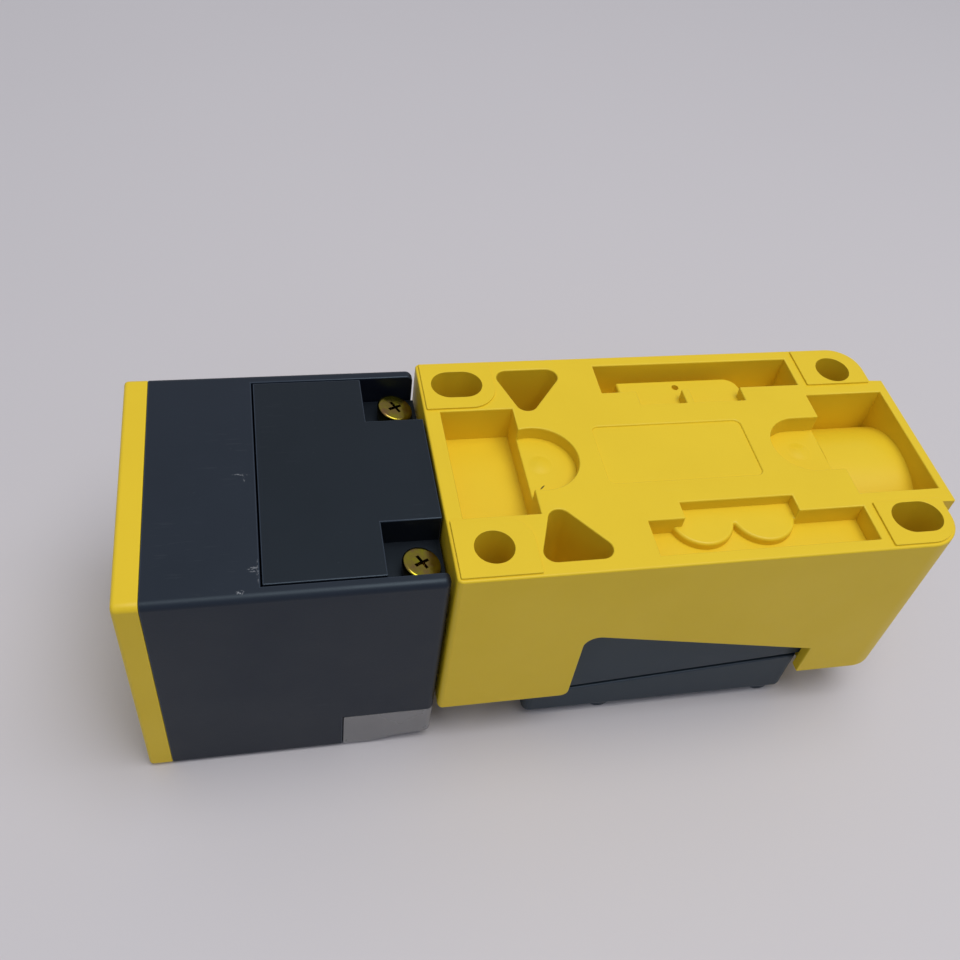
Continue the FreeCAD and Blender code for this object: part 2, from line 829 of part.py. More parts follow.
def make_electronics():
    half = cavity_half - d.board_gap
    low, high = axis_z - half, axis_z + half
    potting = box("potting_block", core_rear, board_front, -half, half, low, high)
    board = box("sensor_board", board_front, board_rear, -half, half, low, high)
    top = board_rear + d.chip_height
    # chips and passives as (middle across, middle up, width, height) on the board's rear side
    layout = (
        (-9.0, 8.0, 7.0, 5.0), (2.0, 9.0, 5.0, 4.0), (10.5, 7.0, 3.2, 2.5),
        (-11.5, -1.5, 3.2, 1.6), (11.0, -2.0, 4.5, 3.0), (-9.5, -8.0, 5.0, 4.0),
    )
    parts = [
        box("Chip", board_rear, top, as_size(y - w / 2), as_size(y + w / 2),
            axis_z + (z - h / 2), axis_z + (z + h / 2))
        for y, z, w, h in layout
    ]
    chips = group("board_parts", *parts)
    half = d.channel_width / 2 - d.board_gap
    led_board = box(
        "led_board", board_rear, channel_rear - d.board_gap, -half, half, channel_floor, led_board_top
    )
    leds = []
    for sign in SIDES.values():
        low_y = sign * led_outer - d.led_size / 2
        leds.append(box(
            "Led", guide_x - d.led_size / 2, guide_x + d.led_size / 2,
            low_y, low_y + d.led_size, led_board_top, led_board_top + d.led_size,
        ))
    return potting, board, chips, led_board, group("status_leds", *leds)


# Hollow neck: collar held in the head, shoulder seated in the base, nut inside the housing
def make_neck():
    end = chamber_front + d.nut_height + d.nut_thread_end
    seal_x = head_rear - d.seal_setback
    seal_half = d.seal_radius + d.seal_groove_gap
    groove_radius = d.neck_radius - 2 * d.seal_radius - d.seal_groove_gap
    neck = turned(
        "swivel_neck",
        (neck_front, d.neck_bore_radius), (neck_front, d.neck_radius),
        (collar_front, d.neck_radius), (collar_front, d.collar_radius),
        (collar_front + d.collar_width, d.collar_radius), (collar_front + d.collar_width, d.neck_radius),
        (seal_x - seal_half, d.neck_radius), (seal_x - seal_half, groove_radius),
        (seal_x + seal_half, groove_radius), (seal_x + seal_half, d.neck_radius),
        (base_front, d.neck_radius), (base_front, d.shoulder_radius),
        (shoulder_rear, d.shoulder_radius), (shoulder_rear, d.neck_radius),
        (end, d.neck_radius), (end, d.neck_bore_radius),
    )
    seal_inner = groove_radius + d.seal_groove_gap / 2
    seal_outer = d.neck_radius - d.seal_groove_gap / 2
    seal_flat = d.seal_radius / 2
    seal_middle = (seal_inner + seal_outer) / 2
    seal = turned(
        "neck_seal",
        (seal_x - d.seal_radius, seal_middle - seal_flat), (seal_x - d.seal_radius, seal_middle + seal_flat),
        (seal_x - seal_flat, seal_outer), (seal_x + seal_flat, seal_outer),
        (seal_x + d.seal_radius, seal_middle + seal_flat), (seal_x + d.seal_radius, seal_middle - seal_flat),
        (seal_x + seal_flat, seal_inner), (seal_x - seal_flat, seal_inner),
    )
    hexagon = doc.addObject("Part::Prism", "Hexagon")
    hexagon.Polygon = 6
    hexagon.Placement = FreeCAD.Placement(
        FreeCAD.Vector(), FreeCAD.Rotation(FreeCAD.Vector(0, 1, 0), 90)
    )
    across_corners = 2 / 3 ** 0.5
    bind(hexagon, Circumradius=d.nut_width / 2 * across_corners, Height=d.nut_height)
    place(hexagon, chamber_front, 0, axis_z)
    thread = lengthwise(
        "Thread", d.neck_radius + d.seat_gap, chamber_front, chamber_front + d.nut_height, 0, axis_z
    )
    return neck, seal, cut("neck_nut", hexagon, thread)


def make_base():
    body = new_body("mounting_base")
    block = Outline(body, "XY_Plane", base_bottom)
    block.rectangle(base_front, base_rear, -base_half, base_half)
    pad(body, block, deck_face - base_bottom)
    fillet(body, d.base_rear_radius, lambda edge: along(edge, 2) and at(edge, 0, base_rear))
    fillet(body, d.base_front_radius, lambda edge: along(edge, 2) and at(edge, 0, base_front))
    fillet(body, d.base_edge_radius, lambda edge: at(edge, 2, deck_face))

    boss = Outline(body, "YZ_Plane", base_rear - d.base_rear_radius)
    boss.arched(d.entry_boss_radius - d.seat_gap, deck_face, entry_z, d.entry_boss_radius, False)
    pad(body, boss, d.base_rear_radius + d.entry_projection)

    cut_inside(body)
    add_pads(body)
    cut_mounting_holes(body)
    cut_face_pockets(body)
    cut_side_pockets(body)
    return body


# Room for the terminal housing, side windows, neck bore and cable entry
def cut_inside(body):
    room = Outline(body, "XY_Plane", deck_under)
    room.rectangle(-d.hollow_front, d.hollow_rear, -hollow_half, hollow_half)
    pocket(body, room, deck_under - base_bottom + OVERCUT)
    window = Outline(body, "XZ_Plane")
    below = base_bottom - OVERCUT
    window.polygon(
        (-d.window_front, below), (d.window_rear, below),
        (d.window_rear, window_top(d.window_rear)), (-d.window_front, window_top(-d.window_front)),
    )
    pocket(body, window, d.section_width + OVERCUT, symmetric=True)
    for radius, height in ((d.window_radius, -d.window_front_top), (d.window_foot_radius, base_bottom)):
        fillet(
            body, radius,
            lambda edge: along(edge, 1) and at(edge, 0, -d.window_front) and at(edge, 2, height),
        )
    bore = Outline(body, "YZ_Plane", base_front - OVERCUT)
    bore.circle(0, axis_z, d.neck_radius + d.neck_fit_gap)
    pocket(body, bore, housing_front - base_front + 2 * OVERCUT, reverse=True)
    seat = Outline(body, "YZ_Plane", base_front - OVERCUT)
    seat.circle(0, axis_z, d.shoulder_radius + d.neck_fit_gap)
    pocket(body, seat, d.shoulder_width + OVERCUT, reverse=True)
    entry = Outline(body, "YZ_Plane", entry_end - d.entry_thread_length)
    entry.circle(0, entry_z, d.entry_radius)
    pocket(body, entry, d.entry_thread_length + OVERCUT, reverse=True)
    hole = Outline(body, "YZ_Plane", d.hollow_rear - OVERCUT)
    hole.circle(0, entry_z, d.cable_hole_radius)
    pocket(body, hole, entry_end - d.hollow_rear + OVERCUT, reverse=True)


# Raised pads round the mounting holes; their top is the mounting plane
def add_pads(body):
    outer_y = base_half - d.pad_inset
    front_x = base_front + d.pad_inset
    rear_x = base_rear - d.pad_inset
    rear_radius = d.base_rear_radius - d.pad_inset
    for sign in SIDES.values():
        front = Outline(body, "XY_Plane", deck_face - d.base_edge_radius)
        front.round_cornered(
            (front_x, sign * outer_y), (-d.pad_inner_x, sign * d.pad_front_inner_y), d.pad_corner_radius
        )
        pad(body, front, d.pad_height + d.base_edge_radius)
        rear = Outline(body, "XY_Plane", deck_face - d.base_edge_radius)
        rear.round_cornered(
            (d.pad_inner_x, sign * d.pad_rear_inner_y), (rear_x, sign * outer_y), rear_radius
        )
        pad(body, rear, d.pad_height + d.base_edge_radius)


# Round holes on one diagonal, long holes on the other
def cut_mounting_holes(body):
    stretch = d.slot_length / 2 - d.hole_radius
    for end in (-1, 1):
        for sign in SIDES.values():
            x = end * d.hole_spacing_x / 2
            y = sign * d.hole_spacing_y / 2
            outline = Outline(body, "XY_Plane", as_size(OVERCUT))
            if end == sign:
                outline.circle(x, y, d.hole_radius)
            else:
                outline.slot(x - stretch, x + stretch, y, d.hole_radius)
            pocket(body, outline, 2 * OVERCUT - base_bottom)


def cut_face_pockets(body):
    half = d.front_recess_width / 2
    recess = Outline(body, "XY_Plane")
    recess.rectangle(-d.front_recess_start, -d.front_recess_end, -half, half)
    pocket(body, recess, d.front_recess_depth)
    disc = Outline(body, "XY_Plane").circle(-d.disc_recess_x, 0, d.disc_recess_radius)
    pocket(body, disc, d.disc_recess_depth)

    # the floor of the rear recess is the crown of the cable entry's tube
    recess = Outline(body, "YZ_Plane", d.rear_recess_start)
    recess.arched(d.rear_recess_width / 2, as_size(OVERCUT), entry_z, d.entry_boss_radius, True)
    pocket(body, recess, d.rear_recess_end - d.rear_recess_start, reverse=True)
    lobe = Outline(body, "XY_Plane").slot(d.lobe_x, d.rear_recess_start + d.lobe_radius, 0, d.lobe_radius)
    pocket(body, lobe, d.lobe_depth)

    for sign in SIDES.values():
        triangle = Outline(body, "XY_Plane")
        triangle.rounded(
            d.triangle_radius,
            (-d.triangle_apex_x, sign * d.triangle_apex_y),
            (-d.triangle_front_x, sign * (base_half - d.triangle_wall)),
            (-d.triangle_rear_x, sign * (base_half - d.triangle_wall)),
        )
        pocket(body, triangle, d.triangle_depth)
    half = d.field_width / 2
    field = Outline(body, "XY_Plane", deck_face)
    field.rounded(
        d.field_radius, (-d.field_front, -half), (d.field_rear, -half), (d.field_rear, half), (-d.field_front, half)
    )
    pocket(body, field, d.field_depth)


# Cored pocket along each side, with a shelf towards the middle
def cut_side_pockets(body):
    front, rear = -d.side_pocket_front, d.side_pocket_rear
    outer = base_half - d.side_pocket_wall
    inner = outer - d.side_pocket_width
    shelf_edge = inner - d.shelf_width
    tongue_y = inner + d.tongue_length - d.tongue_radius
    for sign, depth in ((SIDES["near"], d.near_pocket_depth), (SIDES["far"], d.far_pocket_depth)):
        trough = Outline(body, "XY_Plane").rectangle(front, rear, sign * inner, sign * outer)
        pocket(body, trough, depth)
        if sign == SIDES["near"]:
            # two round tongues
            for x in (d.tongue_middle_x - d.tongue_spacing / 2, d.tongue_middle_x + d.tongue_spacing / 2):
                tongue = Outline(body, "XY_Plane", -depth).circle(x, sign * tongue_y, d.tongue_radius)
                pad(body, tongue, depth - d.shelf_depth)
        else:
            # one long plateau
            plateau = Outline(body, "XY_Plane", -depth)
            plateau.round_cornered(
                (-d.plateau_front, shelf_edge), (d.plateau_rear, inner + d.plateau_length), d.plateau_radius
            )
            pad(body, plateau, depth - d.shelf_depth)
        shelf = Outline(body, "XY_Plane")
        shelf.rectangle(-d.shelf_front, d.shelf_rear, sign * shelf_edge, sign * inner)
        pocket(body, shelf, d.shelf_depth)

    # a rib divides the far shelf
    rib = Outline(body, "XY_Plane", -d.shelf_depth)
    rib.rectangle(d.shelf_rib_x, d.shelf_rib_x + d.shelf_rib_width, shelf_edge, inner)
    pad(body, rib, d.shelf_depth - d.pad_height)


# Housing under the deck; its nose fills the front of the side windows
def make_housing():
    body = new_body("terminal_housing")
    rim = d.seam_gap / 2
    shell = Outline(body, "XZ_Plane")
    shell.polygon(
        (housing_front, deck_under), (housing_rear, deck_under),
        (housing_rear, seam(housing_rear) + rim), (housing_nose, seam(housing_nose) + rim),
        (housing_nose, window_top(housing_nose) - d.window_gap),
        (housing_front, window_top(housing_front) - d.window_gap),
    )
    pad(body, shell, 2 * housing_half, symmetric=True)
    fillet(
        body, d.window_radius,
        lambda edge: along(edge, 1) and at(edge, 0, housing_nose)
        and at(edge, 2, window_top(housing_nose) - d.window_gap),
    )
    chamber = Outline(body, "XY_Plane", chamber_floor)
    chamber.rectangle(chamber_front, chamber_rear, -chamber_half, chamber_half)
    pocket(body, chamber, d.section_width)
    for x, y in boss_places:
        top = seam(x + d.boss_radius) + rim + d.gasket_clearance
        post = Outline(body, "XY_Plane", top).circle(x, y, d.boss_radius)
        pad(body, post, chamber_floor - top)
        hole = Outline(body, "XY_Plane", chamber_floor)
        hole.circle(x, y, d.lid_screw_radius + d.lid_screw_clearance)
        pocket(body, hole, d.section_width)
    neck = Outline(body, "YZ_Plane", housing_nose - OVERCUT)
    neck.circle(0, axis_z, d.neck_radius + d.neck_fit_gap)
    pocket(body, neck, chamber_front - housing_nose + 2 * OVERCUT, reverse=True)
    cable = Outline(body, "YZ_Plane", housing_rear - d.housing_wall - OVERCUT)
    cable.circle(0, entry_z, d.cable_hole_radius)
    pocket(body, cable, d.housing_wall + 2 * OVERCUT, reverse=True)
    return body


def make_lid():
    body = new_body("lid")
    drop = d.seam_gap / 2
    shell = Outline(body, "XZ_Plane")
    shell.polygon(
        (-d.lid_front, lid_bottom), (d.lid_rear, lid_bottom),
        (d.lid_rear, seam(d.lid_rear) - drop), (-d.lid_front, seam(-d.lid_front) - drop),
    )
    pad(body, shell, 2 * housing_half, symmetric=True)
    fillet(body, d.lid_edge_radius, lambda edge: at(edge, 2, lid_bottom) or along(edge, 2))
    inside = Outline(body, "XY_Plane", lid_bottom + d.lid_skin)
    inside.rectangle(chamber_nose, d.lid_rear - d.lid_wall, -chamber_half, chamber_half)
    pocket(body, inside, d.section_width / 2, reverse=True)
    for x, y in boss_places:
        top = seam(x - d.boss_radius) - drop
        boss = Outline(body, "XY_Plane", foot_bottom).circle(x, y, d.boss_radius)
        pad(body, boss, top - foot_bottom)
        hole = Outline(body, "XY_Plane", foot_bottom - OVERCUT)
        hole.circle(x, y, d.lid_screw_radius + d.lid_screw_clearance)
        pocket(body, hole, top - foot_bottom + 2 * OVERCUT, reverse=True)
        sink = Outline(body, "XY_Plane", foot_bottom - OVERCUT)
        sink.circle(x, y, d.lid_screw_head_radius + d.lid_screw_clearance)
        pocket(body, sink, d.lid_screw_sink + OVERCUT, reverse=True)
    return body


def make_lid_fittings():
    body = new_body("lid_gasket")
    drop = d.seam_gap / 2
    x0, x1 = housing_nose + d.gasket_inset, d.lid_rear - d.gasket_inset
    half = housing_half - d.gasket_inset
    band = Outline(body, "XZ_Plane")
    band.polygon(
        (x0, seam(x0) - drop), (x1, seam(x1) - drop),
        (x1, seam(x1) + drop - d.gasket_clearance), (x0, seam(x0) + drop - d.gasket_clearance),
    )
    pad(body, band, 2 * half, symmetric=True)
    middle = Outline(body, "XY_Plane")
    inner = half - d.gasket_width
    middle.rectangle(x0 + d.gasket_width, x1 - d.gasket_width, -inner, inner)
    pocket(body, middle, d.section_width)
    screws = []
    seat = foot_bottom + d.lid_screw_sink
    for x, y in boss_places:
        screws.append(fuse(
            "lid_screw",
            upright("Head", d.lid_screw_head_radius, x, y, seat - d.lid_screw_head_height, seat),
            upright("Shank", d.lid_screw_radius, x, y, seat, seat + d.lid_screw_length),
        ))
    return body, group("lid_screws", *screws)


# Rising-cage terminals: the screw bears on a fixed bar and draws the cage towards its head
def make_terminals():
    cage_rest = block_face + d.terminal_screw_head_height + d.cage_gap + d.cage_travel
    nut_top = cage_rest + d.cage_nut_wall
    jaw = nut_top + d.cage_window
    bar_top = jaw - d.wire_space
    bar_low = bar_top - d.bar_thickness
    cage_end = jaw + d.cage_jaw_wall
    x0 = d.terminal_x - d.cage_length / 2
    x1 = d.terminal_x + d.cage_length / 2
    bar_front = d.terminal_x - d.bar_length / 2
    bar_rear = d.terminal_x + d.bar_length / 2
    wire_z = jaw - d.wire_space / 2
    pieces = {}
    bars = []
    spaces = []
    for number in TERMINALS:
        y = (number - (len(TERMINALS) + 1) / 2) * d.terminal_pitch
        half = d.cage_width / 2
        room = half + d.cage_gap
        spaces.append(box(
            "Cavity", x0 - d.cage_gap, x1 + d.cage_gap, y - room, y + room,
            block_face - OVERCUT, cage_end + d.cage_gap,
        ))
        spaces.append(lengthwise("WireWay", d.wire_hole_radius, x1, d.block_rear + OVERCUT, y, wire_z))
        bar_half = d.bar_width / 2
        spaces.append(box(
            "BarSlot", bar_front - d.bar_gap, bar_rear + d.bar_gap,
            y - bar_half - d.bar_gap, y + bar_half + d.bar_gap, block_face - OVERCUT, bar_top,
        ))
        bars.append(box("Bar", bar_front, bar_rear, y - bar_half, y + bar_half, bar_low, bar_top))
        window_half = half - d.cage_side_wall
        pieces[f"clamp_cage_{number}"] = cut(
            f"clamp_cage_{number}",
            box("Cage", x0, x1, y - half, y + half, cage_rest, cage_end),
            box("Window", x0 - OVERCUT, x1 + OVERCUT, y - window_half, y + window_half, nut_top, jaw),
            upright("Nut", d.terminal_screw_radius + d.terminal_screw_gap, d.terminal_x, y,
                    cage_rest - OVERCUT, nut_top + OVERCUT / 2),
        )
        seat = block_face + d.terminal_screw_head_height
        tip = bar_low - d.terminal_screw_gap
        pieces[f"terminal_screw_{number}"] = fuse(
            f"terminal_screw_{number}",
            upright("Head", d.terminal_screw_head_radius, d.terminal_x, y, block_face, seat),
            upright("Shank", d.terminal_screw_radius, d.terminal_x, y, seat, tip),
        )
    half = chamber_half - d.block_side_gap
    solid = box("Block", -d.block_front, d.block_rear, -half, half, block_face, chamber_floor)
    pieces["terminal_block"] = cut("terminal_block", solid, *spaces)
    pieces["terminal_bars"] = group("terminal_bars", *bars)
    return pieces


# Leads from the head's board through the neck to the terminal block
def make_leads():
    leads = []
    start = board_rear + d.chip_height + d.lead_end_gap
    end = -d.block_front - d.lead_end_gap
    offset = d.lead_spacing / 2
    for y in (-offset, offset):
        for z in (axis_z - offset, axis_z + offset):
            leads.append(lengthwise("Lead", d.lead_radius, start, end, y, z))
    return group("lead_bundle", *leads)


nodes = [make_cap(), make_head_shell(), make_saddle(), *make_saddle_screws()]
nodes += [make_lens(side, sign) for side, sign in SIDES.items()]
nodes += [*make_coil(), *make_electronics(), *make_neck(), make_base(), make_housing(), make_lid()]
nodes += [*make_lid_fittings(), *make_terminals().values(), make_leads()]
doc.recompute()

for item in doc.Objects:
    if "Invalid" in item.State or "Error" in item.State:
        raise RuntimeError(f"{item.Label} failed: {item.State}")
for node in nodes:
    if node.Shape.isNull() or not node.Shape.isValid():
        raise RuntimeError(f"{node.Label} has no valid shape")

os.makedirs("parts", exist_ok=True)
for node in nodes:
    node.Shape.exportStep(f"parts/{node.Label}.step")
    print(f"{node.Label}: {len(node.Shape.Solids)} solid(s), {node.Shape.Volume:.1f} mm3")
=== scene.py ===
import math

import bpy
from mathutils import Matrix, Vector


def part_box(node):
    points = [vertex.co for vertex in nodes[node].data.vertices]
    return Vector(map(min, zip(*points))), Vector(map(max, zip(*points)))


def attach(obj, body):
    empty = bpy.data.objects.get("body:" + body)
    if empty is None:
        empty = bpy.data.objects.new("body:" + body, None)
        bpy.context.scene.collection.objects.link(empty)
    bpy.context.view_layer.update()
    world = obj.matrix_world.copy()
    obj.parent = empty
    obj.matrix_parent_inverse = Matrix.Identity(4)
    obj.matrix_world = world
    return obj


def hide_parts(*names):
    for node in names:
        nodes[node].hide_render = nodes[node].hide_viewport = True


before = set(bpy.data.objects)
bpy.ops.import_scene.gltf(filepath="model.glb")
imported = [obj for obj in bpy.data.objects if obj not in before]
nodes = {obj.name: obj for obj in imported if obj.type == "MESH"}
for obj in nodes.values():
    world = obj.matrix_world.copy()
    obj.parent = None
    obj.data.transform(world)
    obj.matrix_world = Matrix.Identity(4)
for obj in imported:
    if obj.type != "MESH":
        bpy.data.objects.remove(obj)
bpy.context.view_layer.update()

mm = 0.001
hair = 1e-6  # metres, points closer than this are one
level = 0.9  # share of Z in the normal of a face that counts as level
print("frame loaded:", len(nodes), "nodes")


# helpers for working as by hand

def selectNone():
    bpy.ops.object.select_all(action="DESELECT")


def selectOnly(piece):
    selectNone()
    piece.select_set(True)
    bpy.context.view_layer.objects.active = piece


def editMode(on=True):
    bpy.ops.object.mode_set(mode="EDIT" if on else "OBJECT")


def pickAll():
    editMode()
    bpy.ops.mesh.select_all(action="SELECT")


def pickNone(mesh):
    for group in (mesh.vertices, mesh.edges, mesh.polygons):
        for item in group:
            item.select = False


def pickFaces(piece, test):
    editMode(False)
    mesh = piece.data
    pickNone(mesh)
    for face in mesh.polygons:
        face.select = test(face)
    editMode()
    bpy.ops.mesh.select_mode(type="FACE")


def pickEdges(piece, test):
    editMode(False)
    mesh = piece.data
    pickNone(mesh)
    for edge in mesh.edges:
        edge.select = all(test(mesh.vertices[index].co) for index in edge.vertices)
    editMode()
    bpy.ops.mesh.select_mode(type="EDGE")


def applyModifier(piece, kind, **settings):
    modifier = piece.modifiers.new(kind.lower(), kind)
    for setting, value in settings.items():
        setattr(modifier, setting, value)
    selectOnly(piece)
    bpy.ops.object.modifier_apply(modifier=modifier.name)


def combine(piece, other, operation):
    applyModifier(piece, "BOOLEAN", operation=operation, object=other, solver="EXACT")
    bpy.data.objects.remove(other)


def smooth(piece, angle):
    selectOnly(piece)
    bpy.ops.object.shade_smooth_by_angle(angle=math.radians(angle))


def settlePlace(piece):
    selectOnly(piece)
    bpy.ops.object.transform_apply(location=True, rotation=True, scale=True)


def newObject(name, data):
    thing = bpy.data.objects.new(name, data)
    bpy.context.scene.collection.objects.link(thing)
    return thing


def addCylinder(radius, depth, location, sides):
    selectNone()
    bpy.ops.mesh.primitive_cylinder_add(vertices=sides, radius=radius, depth=depth, location=location)
    piece = bpy.context.object
    settlePlace(piece)
    return piece


def dress(piece, *materials):
    piece.data.materials.clear()
    for material in materials:
        piece.data.materials.append(material)


def handOver(piece, body, slot, *replaced):
    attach(piece, body)
    if replaced:
        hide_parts(*replaced)


# node trees

def feed(tree, node, inputs):
    for socket, value in inputs.items():
        if isinstance(value, bpy.types.NodeSocket):
            tree.links.new(value, node.inputs[socket])
        else:
            node.inputs[socket].default_value = value


def wire(tree, kind, inputs=None, **settings):
    node = tree.nodes.new(kind)
    for setting, value in settings.items():
        setattr(node, setting, value)
    feed(tree, node, inputs or {})
    return node


def newGroup(name, inputs, outputs):
    tree = bpy.data.node_groups.new(name, "ShaderNodeTree")
    for socket, value in inputs.items():
        made = tree.interface.new_socket(socket, in_out="INPUT", socket_type="NodeSocketFloat")
        made.default_value = value
    for socket in outputs:
        tree.interface.new_socket(socket, in_out="OUTPUT", socket_type="NodeSocketFloat")
    return tree, tree.nodes.new("NodeGroupInput").outputs, tree.nodes.new("NodeGroupOutput")


def place(tree, scale=(1, 1, 1), turn=(0, 0, 0), shift=(0, 0, 0)):
    inputs = {
        "Vector": wire(tree, "ShaderNodeTexCoord").outputs["Object"], "Scale": scale,
        "Rotation": [math.radians(angle) for angle in turn], "Location": shift,
    }
    return wire(tree, "ShaderNodeMapping", inputs).outputs["Vector"]


def noise(tree, vector, scale, detail=2.0, roughness=0.5):
    inputs = {"Vector": vector, "Scale": scale, "Detail": detail, "Roughness": roughness}
    return wire(tree, "ShaderNodeTexNoise", inputs).outputs["Fac"]


def calculate(tree, operation, first, second):
    return wire(tree, "ShaderNodeMath", {0: first, 1: second}, operation=operation).outputs[0]


def between(tree, value, low, high, newLow=0.0, newHigh=1.0):
    inputs = {"Value": value, "From Min": low, "From Max": high, "To Min": newLow, "To Max": newHigh}
    return wire(tree, "ShaderNodeMapRange", inputs).outputs["Result"]


def opaque(colour):
    return colour if isinstance(colour, bpy.types.NodeSocket) else (*colour, 1.0)


def mixColour(tree, factor, first, second):
    inputs = {0: factor, 6: opaque(first), 7: opaque(second)}
    return wire(tree, "ShaderNodeMix", inputs, data_type="RGBA").outputs[2]


# effects that several materials share

midTones = (0.3, 0.7)  # the range of a noise that is spread from 0 to 1
grainTexture = {"fineness": 3000.0, "fineDetail": (3.0, 0.6), "cloud": 90.0, "cloudDetail": (4.0, 0.55)}


def makeGrain(look):
    inputs = {"Fineness": look["fineness"], "Cloud": look["cloud"]}
    tree, given, results = newGroup("mouldGrain", inputs, ("Height", "Mottle"))
    coords = place(tree)
    fine = noise(tree, coords, given["Fineness"], *look["fineDetail"])
    cloud = noise(tree, coords, given["Cloud"], *look["cloudDetail"])
    feed(tree, results, {"Height": fine, "Mottle": between(tree, cloud, *midTones)})
    return tree


scuffTexture = {
    "amount": 0.5, "streaks": ((24, 0.0), (-52, 0.3), (81, 0.7)),  # the turn and shift of each streak
    "stretch": (240, 2300, 900), "streakEdge": (0.69, 0.76),
    "patchScale": 55.0, "patchDetail": 3.0, "patchShift": (0.4, 0, 0), "patchEdge": (0.5, 0.68),
    "speckScale": 1500.0, "speckEdge": (0.74, 0.8),
}


def makeScuffs(look):
    tree, given, results = newGroup("handlingMarks", {"Amount": look["amount"]}, ("Scuff", "Dust"))
    streaks = []
    for turn, shift in look["streaks"]:
        stretched = place(tree, look["stretch"], (0, 0, turn), (shift, shift, 0))
        streaks.append(between(tree, noise(tree, stretched, 1.0, 1.0), *look["streakEdge"]))
    streaked = calculate(tree, "MAXIMUM", calculate(tree, "MAXIMUM", streaks[0], streaks[1]), streaks[2])
    patches = noise(tree, place(tree, shift=look["patchShift"]), look["patchScale"], look["patchDetail"])
    scuff = calculate(tree, "MULTIPLY", streaked, between(tree, patches, *look["patchEdge"]))
    specks = between(tree, noise(tree, place(tree), look["speckScale"], 1.0), *look["speckEdge"])
    feed(tree, results, {
        "Scuff": calculate(tree, "MULTIPLY", scuff, given["Amount"]),
        "Dust": calculate(tree, "MULTIPLY", specks, given["Amount"]),
    })
    return tree


platingTexture = {"scale": 900.0, "tintDetail": (3.0, 0.6), "tintEdge": (0.35, 0.65), "wearFiner": 3.5}


def makePlating(look):
    tree, given, results = newGroup("platingClouds", {"Scale": look["scale"]}, ("Tint", "Wear"))
    coords = place(tree)
    tint = noise(tree, coords, given["Scale"], *look["tintDetail"])
    wear = noise(tree, coords, calculate(tree, "MULTIPLY", given["Scale"], look["wearFiner"]))
    feed(tree, results, {
        "Tint": between(tree, tint, *look["tintEdge"]), "Wear": between(tree, wear, *midTones),
    })
    return tree


mouldGrain = makeGrain(grainTexture)
handlingMarks = makeScuffs(scuffTexture)
platingClouds = makePlating(platingTexture)


# materials

def newMaterial(name):
    material = bpy.data.materials.new(name)
    material.use_nodes = True
    tree = material.node_tree
    tree.nodes.clear()
    shader = wire(tree, "ShaderNodeBsdfPrincipled")
    wire(tree, "ShaderNodeOutputMaterial", {"Surface": shader.outputs["BSDF"]})
    return material, tree, shader


def useGroup(tree, group, **inputs):
    return wire(tree, "ShaderNodeGroup", inputs, node_tree=group).outputs


def bumped(tree, shader, height, distance):
    bump = wire(tree, "ShaderNodeBump", {"Height": height, "Distance": distance, "Strength": 1.0})
    feed(tree, shader, {"Normal": bump.outputs["Normal"]})


# 1 at a mark's spot and 0 beyond its reach
def nearSpot(tree, mark, fade):
    inputs = {
        "Vector": wire(tree, "ShaderNodeTexCoord").outputs["Object"],
        "Location": Vector(mark["spot"]) * mm, "Rotation": (0, 0, math.radians(mark["turn"])),
        "Scale": Vector(mark["reach"]) * mm,
    }
    local = wire(tree, "ShaderNodeMapping", inputs, vector_type="TEXTURE").outputs["Vector"]
    away = wire(tree, "ShaderNodeVectorMath", {0: local}, operation="LENGTH").outputs["Value"]
    return between(tree, away, *fade, 1.0, 0.0)


scuffing = {"spotFade": (0.55, 1.0), "fleckEdge": (0.5, 0.62), "scuffRoughness": 0.12}


def mouldedPlastic(name, look):
    material, tree, shader = newMaterial(name)
    grain = useGroup(tree, mouldGrain, Fineness=look["fineness"], Cloud=look["cloud"])
    marks = useGroup(tree, handlingMarks, Amount=look["marks"])
    colour = mixColour(tree, grain["Mottle"], look["colour"], look["shade"])
    colour = mixColour(tree, marks["Scuff"], colour, look["scuff"])
    colour = mixColour(tree, marks["Dust"], colour, look["dust"])
    for mark in look.get("spots", ()):
        mask = nearSpot(tree, mark, scuffing["spotFade"])
        if mark["flecks"]:
            flecks = between(tree, noise(tree, place(tree), mark["flecks"]), *scuffing["fleckEdge"])
            mask = calculate(tree, "MULTIPLY", mask, flecks)
        mask = calculate(tree, "MULTIPLY", mask, mark["strength"])
        colour = mixColour(tree, mask, colour, mark["colour"])
    moulded = between(tree, grain["Mottle"], 0.0, 1.0, *look["roughness"])
    rougher = calculate(tree, "MULTIPLY", marks["Scuff"], scuffing["scuffRoughness"])
    feed(tree, shader, {
        "Base Color": colour, "Roughness": calculate(tree, "ADD", moulded, rougher),
        "Specular IOR Level": look["gloss"], "Specular Tint": opaque(look["sheen"]),
    })
    bumped(tree, shader, grain["Height"], look["grainDepth"] * mm)
    return material


yellowLook = {
    "colour": (0.79, 0.557, 0.0225), "shade": (0.76, 0.532, 0.020),
    "scuff": (0.76, 0.58, 0.06), "dust": (0.62, 0.43, 0.02), "marks": 0.10,
    "roughness": (0.38, 0.48), "gloss": 0.28, "sheen": (1.0, 1.0, 1.0),
    "fineness": 4200.0, "cloud": 70.0, "grainDepth": 0.008,
}
# the softened edges of the yellow plastic are lighter than its faces, a painted edge highlight
yellowHighlightEdgeLook = dict(
    yellowLook, colour=(0.80, 0.575, 0.026), shade=(0.775, 0.555, 0.024), roughness=(0.34, 0.42),
)
darkLook = {
    "colour": (0.0026, 0.0036, 0.0100), "shade": (0.0038, 0.0050, 0.0125),
    "scuff": (0.06, 0.065, 0.075), "dust": (0.04, 0.043, 0.052), "marks": 0.12,
    "roughness": (0.42, 0.52), "gloss": 0.46, "sheen": (0.70, 0.88, 1.0),
    "fineness": 4200.0, "cloud": 60.0, "grainDepth": 0.010,
}
